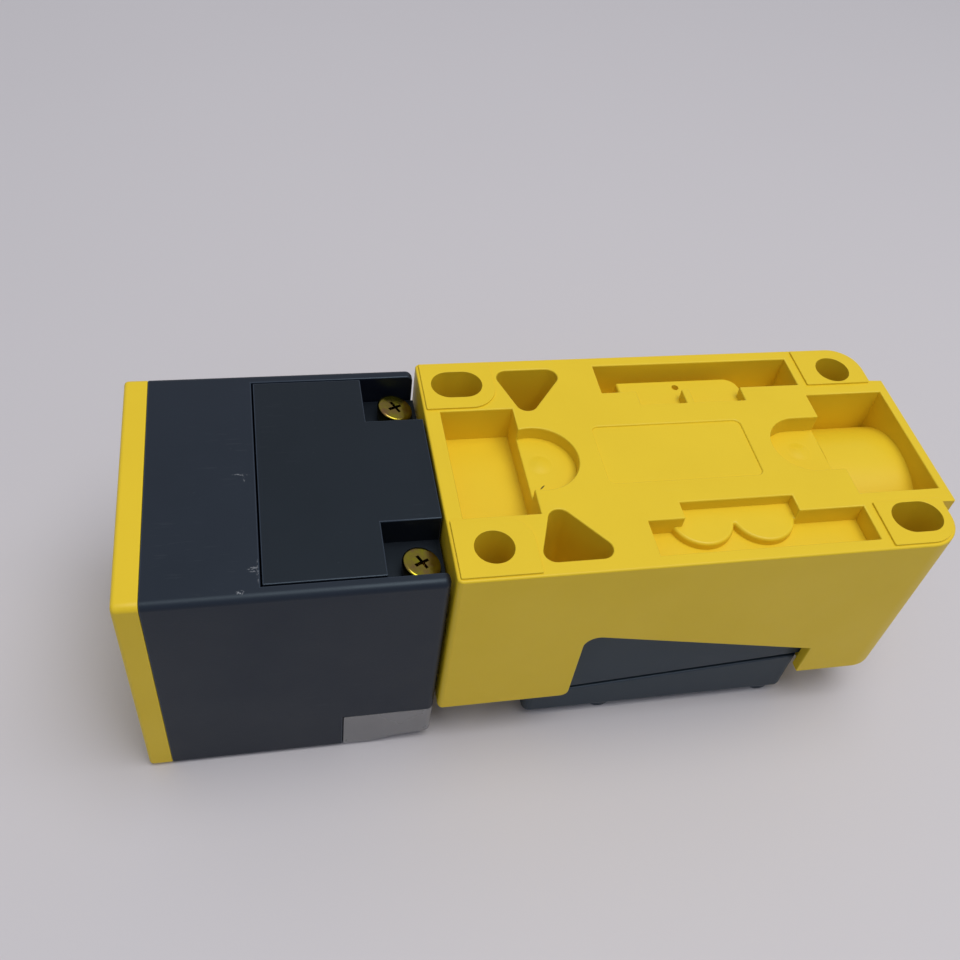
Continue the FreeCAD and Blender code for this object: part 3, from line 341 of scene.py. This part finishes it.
# the softened edges of the dark plastic are much lighter than its faces, a painted edge highlight
darkHighlightEdgeLook = dict(
    darkLook, colour=(0.016, 0.022, 0.036), shade=(0.021, 0.028, 0.043), roughness=(0.32, 0.40),
)
# the saddle is darker than the head shell of the same plastic, as painted shade
saddlePaintedShadeLook = dict(
    darkLook, colour=(0.0012, 0.0020, 0.0050), shade=(0.0020, 0.0030, 0.0070), gloss=0.38,
)
# housing and lid are lighter than the head though of the same plastic, painted light on the shaded chamber
chamberPaintedLightLook = dict(darkLook, colour=(0.0160, 0.0240, 0.0340), shade=(0.0190, 0.0280, 0.0380))
blockLook = dict(
    darkLook, colour=(0.40, 0.41, 0.40), shade=(0.36, 0.37, 0.36),
    scuff=(0.5, 0.5, 0.5), dust=(0.3, 0.3, 0.3),
)
formerLook = dict(
    darkLook, colour=(0.55, 0.52, 0.45), shade=(0.50, 0.47, 0.40),
    scuff=(0.6, 0.58, 0.5), dust=(0.4, 0.4, 0.35),
)
resinLook = dict(
    darkLook, colour=(0.03, 0.03, 0.03), shade=(0.022, 0.022, 0.024), roughness=(0.18, 0.28),
)
rubberLook = dict(
    darkLook, colour=(0.018, 0.018, 0.018), shade=(0.026, 0.026, 0.026), roughness=(0.55, 0.7), gloss=0.3,
)
chipLook = dict(
    darkLook, colour=(0.02, 0.02, 0.02), shade=(0.028, 0.028, 0.028), roughness=(0.5, 0.6),
)
ferriteLook = dict(
    darkLook, colour=(0.045, 0.045, 0.05), shade=(0.065, 0.065, 0.07), roughness=(0.45, 0.65),
    grainDepth=0.03,
)

# pale scrapes on the head and a small dark mark in the front recess of the base
rubbed = {"turn": 0, "flecks": 4400.0, "strength": 0.9, "colour": (0.26, 0.27, 0.29)}
headLook = dict(darkLook, spots=(
    dict(rubbed, spot=(-59.2, -15.5, -0.4), reach=(0.5, 2.4, 1.5)),
    dict(rubbed, spot=(-60.0, -15.2, -0.4), reach=(0.9, 0.5, 1.5), strength=0.7),
    dict(rubbed, spot=(-64.4, -17.5, -0.4), reach=(0.34, 0.55, 1.5), flecks=700.0),
    dict(rubbed, spot=(-61.6, -18.5, -0.4), reach=(0.6, 0.4, 1.5), strength=0.8),
    dict(rubbed, spot=(-61.1, 0.35, -0.4), reach=(1.3, 0.18, 1.5), strength=0.6, turn=-4),
    dict(rubbed, spot=(-60.7, -0.3, -0.4), reach=(0.2, 0.9, 1.5), strength=0.5),
))
darkMark = {
    "spot": (-20.83, -3.61, -2.4), "reach": (0.62, 0.13, 0.6), "turn": 43,
    "flecks": None, "strength": 0.95, "colour": (0.05, 0.03, 0.004),
}

yellowPlastic = mouldedPlastic("yellowPlastic", yellowLook)
yellowHighlightEdge = mouldedPlastic("yellowPlasticHighlightEdge", yellowHighlightEdgeLook)
# the saddle's plastic, darker than the head as painted shade
darkPlastic = mouldedPlastic("darkPlastic", saddlePaintedShadeLook)
headPlastic = mouldedPlastic("headPlastic", headLook)
basePlastic = mouldedPlastic("basePlastic", dict(yellowLook, spots=(darkMark,)))
chamberPaintedLightPlastic = mouldedPlastic("chamberPaintedLightPlastic", chamberPaintedLightLook)
darkHighlightEdge = mouldedPlastic("darkPlasticHighlightEdge", darkHighlightEdgeLook)
blockPlastic = mouldedPlastic("blockPlastic", blockLook)
formerPlastic = mouldedPlastic("formerPlastic", formerLook)
pottingResin = mouldedPlastic("pottingResin", resinLook)
rubberSeal = mouldedPlastic("rubberSeal", rubberLook)
chipPlastic = mouldedPlastic("chipPlastic", chipLook)
ferrite = mouldedPlastic("ferrite", ferriteLook)


def platedMetal(name, look):
    material, tree, shader = newMaterial(name)
    clouds = useGroup(tree, platingClouds, Scale=look["scale"])
    feed(tree, shader, {
        "Base Color": mixColour(tree, clouds["Tint"], look["colour"], look["tint"]),
        "Roughness": between(tree, clouds["Wear"], 0.0, 1.0, *look["roughness"]),
        "Metallic": 1.0,
    })
    bumped(tree, shader, clouds["Wear"], look["grainDepth"] * mm)
    return material


passivatedSteel = platedMetal("passivatedSteel", {
    "colour": (0.29, 0.256, 0.016), "tint": (0.215, 0.128, 0.053), "scale": 420.0,
    "roughness": (0.16, 0.26), "grainDepth": 0.003,
})
platedSteel = platedMetal("platedSteel", {
    "colour": (0.66, 0.66, 0.65), "tint": (0.56, 0.57, 0.58), "scale": 500.0,
    "roughness": (0.28, 0.40), "grainDepth": 0.0015,
})
neckMetal = platedMetal("neckMetal", {
    "colour": (0.60, 0.58, 0.53), "tint": (0.52, 0.51, 0.48), "scale": 260.0,
    "roughness": (0.32, 0.42), "grainDepth": 0.0008,
})
brass = platedMetal("brass", {
    "colour": (0.76, 0.56, 0.24), "tint": (0.66, 0.46, 0.18), "scale": 700.0,
    "roughness": (0.18, 0.34), "grainDepth": 0.004,
})


def makeLensMaterial(look):
    material, tree, shader = newMaterial("smokedLens")
    grain = useGroup(tree, mouldGrain, Fineness=look["fineness"], Cloud=look["cloud"])
    feed(tree, shader, {
        "Base Color": mixColour(tree, grain["Mottle"], look["colour"], look["shade"]),
        "Roughness": between(tree, grain["Mottle"], 0.0, 1.0, *look["roughness"]),
        "Coat Weight": look["coat"], "IOR": look["ior"],
    })
    bumped(tree, shader, grain["Height"], look["grainDepth"] * mm)
    return material


smokedLens = makeLensMaterial({
    "colour": (0.212, 0.207, 0.207), "shade": (0.182, 0.178, 0.178), "coat": 0.25, "ior": 1.58,
    "roughness": (0.24, 0.32), "fineness": 4200.0, "cloud": 120.0, "grainDepth": 0.001,
})


def makeWinding(look):
    material, tree, shader = newMaterial("copperWire")
    inputs = {"Vector": place(tree), "Scale": look["turns"], "Distortion": look["waver"]}
    bands = wire(tree, "ShaderNodeTexWave", inputs, wave_type="BANDS", bands_direction="X").outputs["Fac"]
    feed(tree, shader, {
        "Base Color": mixColour(tree, bands, look["gap"], look["colour"]),
        "Roughness": between(tree, bands, 0.0, 1.0, *look["roughness"]),
        "Metallic": 1.0,
    })
    bumped(tree, shader, bands, look["wire"] * mm)
    return material


copperWire = makeWinding({
    "colour": (0.66, 0.27, 0.10), "gap": (0.20, 0.07, 0.03),
    "roughness": (0.5, 0.26),  # in the gap and on the wire
    "turns": 900.0, "waver": 0.4, "wire": 0.12,
})


def makeBoardMaterial(look):
    material, tree, shader = newMaterial("circuitBoard")
    weave = noise(tree, place(tree), look["weave"])
    tracks = wire(tree, "ShaderNodeTexBrick", {
        "Vector": place(tree, turn=(0, 90, 0)), "Scale": look["tracks"], "Mortar Size": look["trackWidth"],
        "Color1": (1, 1, 1, 1), "Color2": (1, 1, 1, 1), "Mortar": (0, 0, 0, 1),
    }).outputs["Fac"]
    colour = mixColour(tree, between(tree, weave, *midTones), look["colour"], look["shade"])
    feed(tree, shader, {
        "Base Color": mixColour(tree, tracks, colour, look["track"]),
        "Roughness": between(tree, weave, *midTones, *look["roughness"]),
    })
    bumped(tree, shader, tracks, look["trackHeight"] * mm)
    return material


circuitBoard = makeBoardMaterial({
    "colour": (0.015, 0.14, 0.045), "shade": (0.012, 0.11, 0.035), "track": (0.03, 0.20, 0.07),
    "weave": 1800.0, "roughness": (0.28, 0.4), "tracks": 320.0, "trackWidth": 0.12, "trackHeight": 0.03,
})


def makeLedMaterial(look):
    material, tree, shader = newMaterial("ledResin")
    cloud = noise(tree, place(tree), look["cloud"])
    feed(tree, shader, {
        "Base Color": mixColour(tree, cloud, look["colour"], look["core"]),
        "Roughness": between(tree, cloud, *midTones, *look["roughness"]),
    })
    return material


ledResin = makeLedMaterial({
    "colour": (0.65, 0.60, 0.35), "core": (0.85, 0.75, 0.25), "cloud": 900.0, "roughness": (0.12, 0.22),
})


# four leads, told apart by where they lie
def makeLeadMaterial(look):
    material, tree, shader = newMaterial("leadInsulation")
    coords = wire(tree, "ShaderNodeTexCoord").outputs["Object"]
    parts = wire(tree, "ShaderNodeSeparateXYZ", {"Vector": coords}).outputs
    far = calculate(tree, "GREATER_THAN", parts["Y"], 0.0)
    high = calculate(tree, "GREATER_THAN", parts["Z"], look["middle"] * mm)
    lower = mixColour(tree, far, look["brown"], look["blue"])
    upper = mixColour(tree, far, look["black"], look["white"])
    colour = mixColour(tree, high, lower, upper)
    soil = between(tree, noise(tree, coords, look["soilScale"]), *midTones)
    soiled = calculate(tree, "MULTIPLY", soil, look["soilAmount"])
    feed(tree, shader, {
        "Base Color": mixColour(tree, soiled, colour, look["soil"]),
        "Roughness": between(tree, soil, 0.0, 1.0, *look["roughness"]),
    })
    return material


leadInsulation = makeLeadMaterial({
    "middle": -20.4, "brown": (0.12, 0.05, 0.025), "blue": (0.02, 0.07, 0.30),
    "black": (0.02, 0.02, 0.02), "white": (0.62, 0.62, 0.60),
    "soil": (0.1, 0.09, 0.08), "soilScale": 500.0, "soilAmount": 0.25, "roughness": (0.35, 0.5),
})
print("materials made:", len(bpy.data.materials))


# mouldings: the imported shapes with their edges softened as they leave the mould

flatMerge = 0.6  # degrees, faces that meet at less become one


def mouldedCopy(name, node):
    piece = newObject(name, nodes[node].data.copy())
    selectOnly(piece)
    pickAll()
    bpy.ops.mesh.remove_doubles(threshold=hair)
    editMode(False)
    bpy.ops.mesh.customdata_custom_splitnormals_clear()
    pickAll()
    bpy.ops.mesh.dissolve_limited(angle_limit=math.radians(flatMerge))
    editMode(False)
    return piece


# the share of the width that an edge takes: low steps such as the pads have room for little
def edgeShare(ends, soft):
    for height, share in soft["shares"].items():
        if all(abs(co.z - height * mm) < hair for co in ends):
            return share
    return soft["share"]


def weighEdges(piece, soft):
    mesh = piece.data
    weights = mesh.attributes.new("bevel_weight_edge", "FLOAT", "EDGE").data
    sides = {}
    for face in mesh.polygons:
        corners = list(face.vertices)
        for start, end in zip(corners, corners[1:] + corners[:1]):
            sides.setdefault(frozenset((start, end)), []).append((face.normal.copy(), start, end))
    for edge in mesh.edges:
        touching = sides.get(frozenset(edge.vertices), [])
        if len(touching) != 2:
            continue
        (first, start, end), (second, _, _) = touching
        ends = [mesh.vertices[index].co for index in (start, end)]
        outer = first.cross(second).dot(ends[1] - ends[0]) > 0
        if outer and first.angle(second, 0.0) > math.radians(soft["angle"]):
            weights[edge.index].value = edgeShare(ends, soft)


def softenEdges(piece, soft):
    weighEdges(piece, soft)
    # the bevel faces take the second material, on the plastics a lighter painted edge highlight
    applyModifier(
        piece, "BEVEL", width=soft["width"] * mm, segments=soft["segments"], limit_method="WEIGHT",
        use_clamp_overlap=False, loop_slide=False, material=1,
    )
    pickAll()
    bpy.ops.mesh.dissolve_degenerate(threshold=hair)
    editMode(False)
    if piece.name in finishing:
        finishing[piece.name](piece)
    smooth(piece, soft["smooth"])
    applyModifier(piece, "WEIGHTED_NORMAL", mode="FACE_AREA", weight=100, keep_sharp=True)


entryBore = {"radius": 9.2, "opened": 10.05, "axisZ": -15.8, "start": 23.9, "tolerance": 0.03}


# the bore of the cable entry is widened to make room for the thread
def openBase(piece):
    axis = Vector((0, 0, entryBore["axisZ"] * mm))
    selectOnly(piece)

    def onBore(co):
        away = math.hypot(co.y, co.z - axis.z) / mm
        return co.x > entryBore["start"] * mm and abs(away - entryBore["radius"]) < entryBore["tolerance"]

    pickEdges(piece, onBore)
    grow = entryBore["opened"] / entryBore["radius"]
    bpy.ops.transform.resize(value=(1, grow, grow), center_override=axis)
    editMode(False)


ventHole = {"spot": (4.15, 14.55, -2.1), "radius": 0.55, "depth": 1.8, "sides": 32}
mouldDomes = {
    "spots": ((-20.3, 0.5, -2.4), (19.7, 1.0, -3.2)), "radius": 2.0, "height": 0.26, "sink": 0.012,
    "rings": 14, "sides": 64,
}


# a plug whose top swells to a low dome, ring by ring
def domedPlug(dome):
    radius = dome["radius"] * mm
    plug = addCylinder(radius, radius, (0, 0, -radius / 2), dome["sides"])
    pickFaces(plug, lambda face: face.normal.z > level)
    step = math.pi / dome["rings"]
    for ring in range(dome["rings"]):
        rise = (math.cos(step * ring) - math.cos(step * (ring + 1))) / 2 * dome["height"]
        bpy.ops.mesh.inset(thickness=radius / (dome["rings"] + 1))
        bpy.ops.transform.translate(value=(0, 0, rise * mm))
    editMode(False)
    return plug


# low domes left by the mould in the two round recesses, and a vent hole in the far shelf
def finishBase(piece):
    for spot in mouldDomes["spots"]:
        plug = domedPlug(mouldDomes)
        plug.location = (Vector(spot) - Vector((0, 0, mouldDomes["sink"]))) * mm
        settlePlace(plug)
        combine(piece, plug, "UNION")
    start = Vector(ventHole["spot"]) * mm
    drill = addCylinder(ventHole["radius"] * mm, ventHole["depth"] * mm, start, ventHole["sides"])
    combine(piece, drill, "DIFFERENCE")


reshaping = {"base_moulding": openBase}
finishing = {"base_moulding": finishBase}
softEdges = {
    "width": 0.18, "segments": 2, "angle": 32, "smooth": 40, "share": 1.0, "shares": {0.0: 0.35},
}
mouldings = {
    "base_moulding": {
        "node": "mounting_base", "body": "base", "slot": "yellow_plastic", "width": 0.44, "segments": 3,
        "share": 0.5, "shares": {0.0: 0.18, -2.1: 1.0},
    },
    "head_moulding": {"node": "head_shell", "body": "head", "slot": "dark_plastic"},
    "face_cap_moulding": {
        "node": "active_face_cap", "body": "head", "slot": "yellow_plastic", "width": 0.15,
    },
    "saddle_moulding": {"node": "clamp_saddle", "body": "head", "slot": "dark_plastic", "width": 0.16},
    "lens_near_moulding": {"node": "led_lens_near", "body": "head", "slot": "smoked_lens", "width": 0.15},
    "lens_far_moulding": {"node": "led_lens_far", "body": "head", "slot": "smoked_lens", "width": 0.15},
    "housing_moulding": {"node": "terminal_housing", "body": "base", "slot": "dark_plastic", "width": 0.2},
    "lid_moulding": {
        "node": "lid", "body": "lid", "slot": "dark_plastic", "width": 0.25, "segments": 3,
    },
    "block_moulding": {"node": "terminal_block", "body": "base", "slot": "block_plastic", "width": 0.12},
}
for number in (1, 2, 3, 4):
    mouldings[f"cage_{number}_pressing"] = {
        "node": f"clamp_cage_{number}", "body": f"cage_{number}", "slot": "plated_steel", "width": 0.1,
    }
# surface and softened edge, by piece or else by slot; on the plastics the edge material is lighter, a
# painted edge highlight
finishes = {
    "base_moulding": (basePlastic, yellowHighlightEdge), "head_moulding": (headPlastic, darkHighlightEdge),
    "housing_moulding": (chamberPaintedLightPlastic, darkHighlightEdge), "lid_moulding": (chamberPaintedLightPlastic, darkHighlightEdge),
    "yellow_plastic": (yellowPlastic, yellowHighlightEdge), "dark_plastic": (darkPlastic, darkHighlightEdge),
    "smoked_lens": (smokedLens, smokedLens), "block_plastic": (blockPlastic, blockPlastic),
    "plated_steel": (platedSteel, platedSteel),
}
for name, look in mouldings.items():
    look = dict(softEdges, **look)
    piece = mouldedCopy(name, look["node"])
    if name in reshaping:
        reshaping[name](piece)
    dress(piece, *finishes.get(name, finishes.get(look["slot"])))
    softenEdges(piece, look)
    handOver(piece, look["body"], look["slot"], look["node"])
    print(name, len(piece.data.polygons), "faces")


# gland thread in the cable entry, one ridge wound along the bore

entryThread = {
    "crest": 9.22, "size": 0.78, "flatten": 0.8, "pitch": 1.5, "turns": 7, "start": 25.3,
    "sides": 3, "steps": 64, "weld": 1e-7, "smooth": 30,
}
selectNone()
bpy.ops.mesh.primitive_circle_add(vertices=entryThread["sides"], radius=entryThread["size"] * mm)
thread = bpy.context.object
thread.name = "entry_thread"
thread.scale = (1, entryThread["flatten"], 1)
settlePlace(thread)
thread.location = (0, -(entryThread["crest"] + entryThread["size"] * entryThread["flatten"]) * mm, 0)
settlePlace(thread)
applyModifier(
    thread, "SCREW", axis="X", screw_offset=entryThread["pitch"] * mm, iterations=entryThread["turns"],
    steps=entryThread["steps"], render_steps=entryThread["steps"],
)
thread.location = (entryThread["start"] * mm, 0, entryBore["axisZ"] * mm)
settlePlace(thread)
pickAll()
bpy.ops.mesh.remove_doubles(threshold=entryThread["weld"])
bpy.ops.mesh.fill_holes(sides=entryThread["sides"])
bpy.ops.mesh.normals_make_consistent(inside=False)
editMode(False)
smooth(thread, entryThread["smooth"])
dress(thread, yellowPlastic)
handOver(thread, "base", "yellow_plastic")
print("entry thread made")


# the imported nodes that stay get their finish

stayingFinishes = {
    "screw_inserts": brass, "ferrite_core": ferrite, "coil_former": formerPlastic,
    "coil_winding": copperWire, "potting_block": pottingResin, "sensor_board": circuitBoard,
    "board_parts": chipPlastic, "led_board": circuitBoard, "status_leds": ledResin,
    "swivel_neck": neckMetal, "neck_seal": rubberSeal, "neck_nut": neckMetal,
    "terminal_bars": brass, "lead_bundle": leadInsulation, "lid_gasket": rubberSeal,
}
for node, material in stayingFinishes.items():
    nodes[node].material_slots[0].material = material
print("packed nodes finished:", len(stayingFinishes))


# cross-recess screws, modelled once in each size with the head up and its seat at zero

screwShape = {
    "sides": 64, "crownSegments": 6, "crownProfile": 0.6, "rim": 0.98, "underEdge": 0.25,
    "underSegments": 2, "tip": 0.3, "leanFrom": 0.5, "taper": 0.45, "smooth": 38,
}


def makeScrew(name, size):
    radius, height, crown = size["headRadius"] * mm, size["headHeight"] * mm, size["crown"] * mm
    shank, length = size["shankRadius"] * mm, size["length"] * mm
    screw = addCylinder(radius, height, (0, 0, height / 2), screwShape["sides"])
    screw.name = name
    pickFaces(screw, lambda face: face.normal.z < -level)
    bpy.ops.mesh.inset(thickness=radius - shank)
    bpy.ops.mesh.extrude_region_move(TRANSFORM_OT_translate={"value": (0, 0, -length)})
    pickEdges(screw, lambda co: abs(co.z - height) < hair)
    bpy.ops.mesh.bevel(
        offset=crown, segments=screwShape["crownSegments"], profile=screwShape["crownProfile"],
        affect="EDGES",
    )
    pickEdges(screw, lambda co: abs(co.z) < hair and co.xy.length > radius * screwShape["rim"])
    bpy.ops.mesh.bevel(
        offset=crown * screwShape["underEdge"], segments=screwShape["underSegments"], affect="EDGES",
    )
    pickEdges(screw, lambda co: co.z < hair - length)
    bpy.ops.mesh.bevel(offset=shank * screwShape["tip"], segments=1, affect="EDGES")
    pickEdges(screw, lambda co: co.z > height * screwShape["leanFrom"])
    bpy.ops.transform.rotate(
        value=math.radians(size["lean"]), orient_axis="Y", center_override=(0, 0, height),
    )
    editMode(False)
    for turn in (0, 90):
        selectNone()
        bpy.ops.mesh.primitive_cube_add(size=1, location=(0, 0, height))
        blade = bpy.context.object
        blade.scale = (size["recessSpan"] * mm, size["recessWidth"] * mm, 2 * size["recessDepth"] * mm)
        blade.rotation_euler = (0, 0, math.radians(turn + size["turn"]))
        settlePlace(blade)
        pickFaces(blade, lambda face: face.normal.z < -level)
        bpy.ops.transform.resize(value=(screwShape["taper"], screwShape["taper"], 1))
        editMode(False)
        combine(screw, blade, "DIFFERENCE")
    smooth(screw, screwShape["smooth"])
    return screw


def placeScrew(master, name, spot, material, flip=False):
    copy = newObject(name, master.data.copy())
    turn = Matrix.Rotation(math.pi, 4, "X") if flip else Matrix.Identity(4)
    copy.data.transform(Matrix.Translation(Vector(spot) * mm) @ turn)
    dress(copy, material)
    return copy


saddleScrew = {
    "headRadius": 2.6, "headHeight": 2.0, "shankRadius": 1.45, "length": 9.5, "crown": 0.5, "lean": -14,
    "recessSpan": 3.0, "recessWidth": 0.62, "recessDepth": 1.1, "turn": 32,
    "x": -38.9, "y": 14.15, "seat": -5.3,
}
master = makeScrew("saddle_screw_pattern", saddleScrew)
for side, sign in (("near", -1), ("far", 1)):
    spot = (saddleScrew["x"], sign * saddleScrew["y"], saddleScrew["seat"])
    screw = placeScrew(master, f"saddle_screw_{side}", spot, passivatedSteel)
    handOver(screw, "head", "passivated_steel", "saddle_screws")
bpy.data.objects.remove(master)

lidScrew = {
    "headRadius": 2.0, "headHeight": 1.5, "shankRadius": 1.25, "length": 14.0, "crown": 0.35, "lean": 0,
    "recessSpan": 2.5, "recessWidth": 0.55, "recessDepth": 0.85, "turn": 18,
    "x": (-8.6, 18.6), "y": (-14.9, 14.9), "seat": -38.1,
}
master = makeScrew("lid_screw_pattern", lidScrew)
for column, x in enumerate(lidScrew["x"]):
    for row, y in enumerate(lidScrew["y"]):
        spot = (x, y, lidScrew["seat"])
        screw = placeScrew(master, f"lid_screw_{column}{row}", spot, passivatedSteel, True)
        handOver(screw, "lid", "passivated_steel", "lid_screws")
bpy.data.objects.remove(master)

terminalScrew = {
    "headRadius": 2.3, "headHeight": 1.7, "shankRadius": 1.5, "length": 5.6, "crown": 0.4, "lean": 0,
    "recessSpan": 3.2, "recessWidth": 0.6, "recessDepth": 0.9, "turn": 45,
}
master = makeScrew("terminal_screw_pattern", terminalScrew)
for number in (1, 2, 3, 4):
    node = f"terminal_screw_{number}"
    low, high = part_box(node)
    middle = (low + high) / 2 / mm
    spot = (middle.x, middle.y, low.z / mm + terminalScrew["headHeight"])
    screw = placeScrew(master, f"clamp_screw_{number}", spot, platedSteel, True)
    handOver(screw, f"screw_{number}", "plated_steel", node)
bpy.data.objects.remove(master)
print("screws made")


# floor, clear when seen from below

floorLook = {
    "size": 3.0, "height": -40.05, "colour": (0.62, 0.595, 0.62), "shade": (0.59, 0.565, 0.59),
    "cloud": 6.0, "cloudDetail": 3.0, "roughness": (0.55, 0.65),
}
selectNone()
bpy.ops.mesh.primitive_plane_add(size=floorLook["size"], location=(0, 0, floorLook["height"] * mm))
floor = bpy.context.object
floor.name = "floor"
settlePlace(floor)
floorPaint, tree, shader = newMaterial("floorPaint")
cloud = noise(tree, place(tree), floorLook["cloud"], floorLook["cloudDetail"])
feed(tree, shader, {
    "Base Color": mixColour(tree, cloud, floorLook["colour"], floorLook["shade"]),
    "Roughness": between(tree, cloud, *midTones, *floorLook["roughness"]),
})
facing = wire(tree, "ShaderNodeNewGeometry").outputs["Backfacing"]
clear = wire(tree, "ShaderNodeBsdfTransparent").outputs["BSDF"]
sheet = wire(tree, "ShaderNodeMixShader", {0: facing, 1: shader.outputs["BSDF"], 2: clear})
output = next(node for node in tree.nodes if node.type == "OUTPUT_MATERIAL")
feed(tree, output, {"Surface": sheet.outputs["Shader"]})
dress(floor, floorPaint)


# light and camera

lampAim = Vector((-0.02, 0, -0.02))
lamps = {
    "key": {"spot": (0.11, -0.09, 0.68), "size": 0.48, "power": 3.4, "colour": (1.0, 0.985, 0.96)},
    "fill": {"spot": (-0.55, -0.70, 0.25), "size": 0.6, "power": 0.42, "colour": (0.42, 0.62, 1.0)},
}
for name, lamp in lamps.items():
    light = bpy.data.lights.new(name, "AREA")
    light.shape = "SQUARE"
    light.size = lamp["size"]
    light.energy = lamp["power"]
    light.color = lamp["colour"]
    holder = newObject(name, light)
    holder.location = lamp["spot"]
    holder.rotation_euler = (lampAim - Vector(lamp["spot"])).to_track_quat("-Z", "Y").to_euler()

# light at the horizon and overhead, and the strength that the camera and reflections see
skyLook = {"colour": (0.86, 0.89, 0.97), "light": (0.05, 0.60), "seen": 0.62}
world = bpy.data.worlds.new("studio")
world.use_nodes = True
sky = world.node_tree
coords = wire(sky, "ShaderNodeTexCoord").outputs["Generated"]
height = wire(sky, "ShaderNodeSeparateXYZ", {"Vector": coords}).outputs["Z"]
rays = wire(sky, "ShaderNodeLightPath").outputs
mirrored = calculate(sky, "MAXIMUM", rays["Is Glossy Ray"], rays["Is Transmission Ray"])
strength = wire(sky, "ShaderNodeMix", {
    0: calculate(sky, "MAXIMUM", rays["Is Camera Ray"], mirrored),
    2: between(sky, height, 0.0, 1.0, *skyLook["light"]), 3: skyLook["seen"],
}, data_type="FLOAT").outputs[0]
feed(sky, sky.nodes["Background"], {"Color": opaque(skyLook["colour"]), "Strength": strength})
bpy.context.scene.world = world
bpy.context.scene.view_settings.view_transform = "Standard"

cameraSetup = {
    "spot": (-57.509, -92.398, 102.058), "forward": (0.20014, 0.64276, -0.73947),
    "right": (0.97809, -0.17521, 0.11243), "lens": 38.70, "sensor": 36.0, "near": 5.0,
}
lensData = bpy.data.cameras.new("camera")
lensData.lens = cameraSetup["lens"]
lensData.sensor_width = cameraSetup["sensor"]
lensData.sensor_height = cameraSetup["sensor"]
lensData.clip_start = cameraSetup["near"] * mm
camera = newObject("camera", lensData)
forward = Vector(cameraSetup["forward"]).normalized()
right = Vector(cameraSetup["right"]).normalized()
turn = Matrix((right, right.cross(forward), -forward)).transposed().to_4x4()
camera.matrix_world = Matrix.Translation(Vector(cameraSetup["spot"]) * mm) @ turn
bpy.context.scene.camera = camera
print("floor, light and camera set")
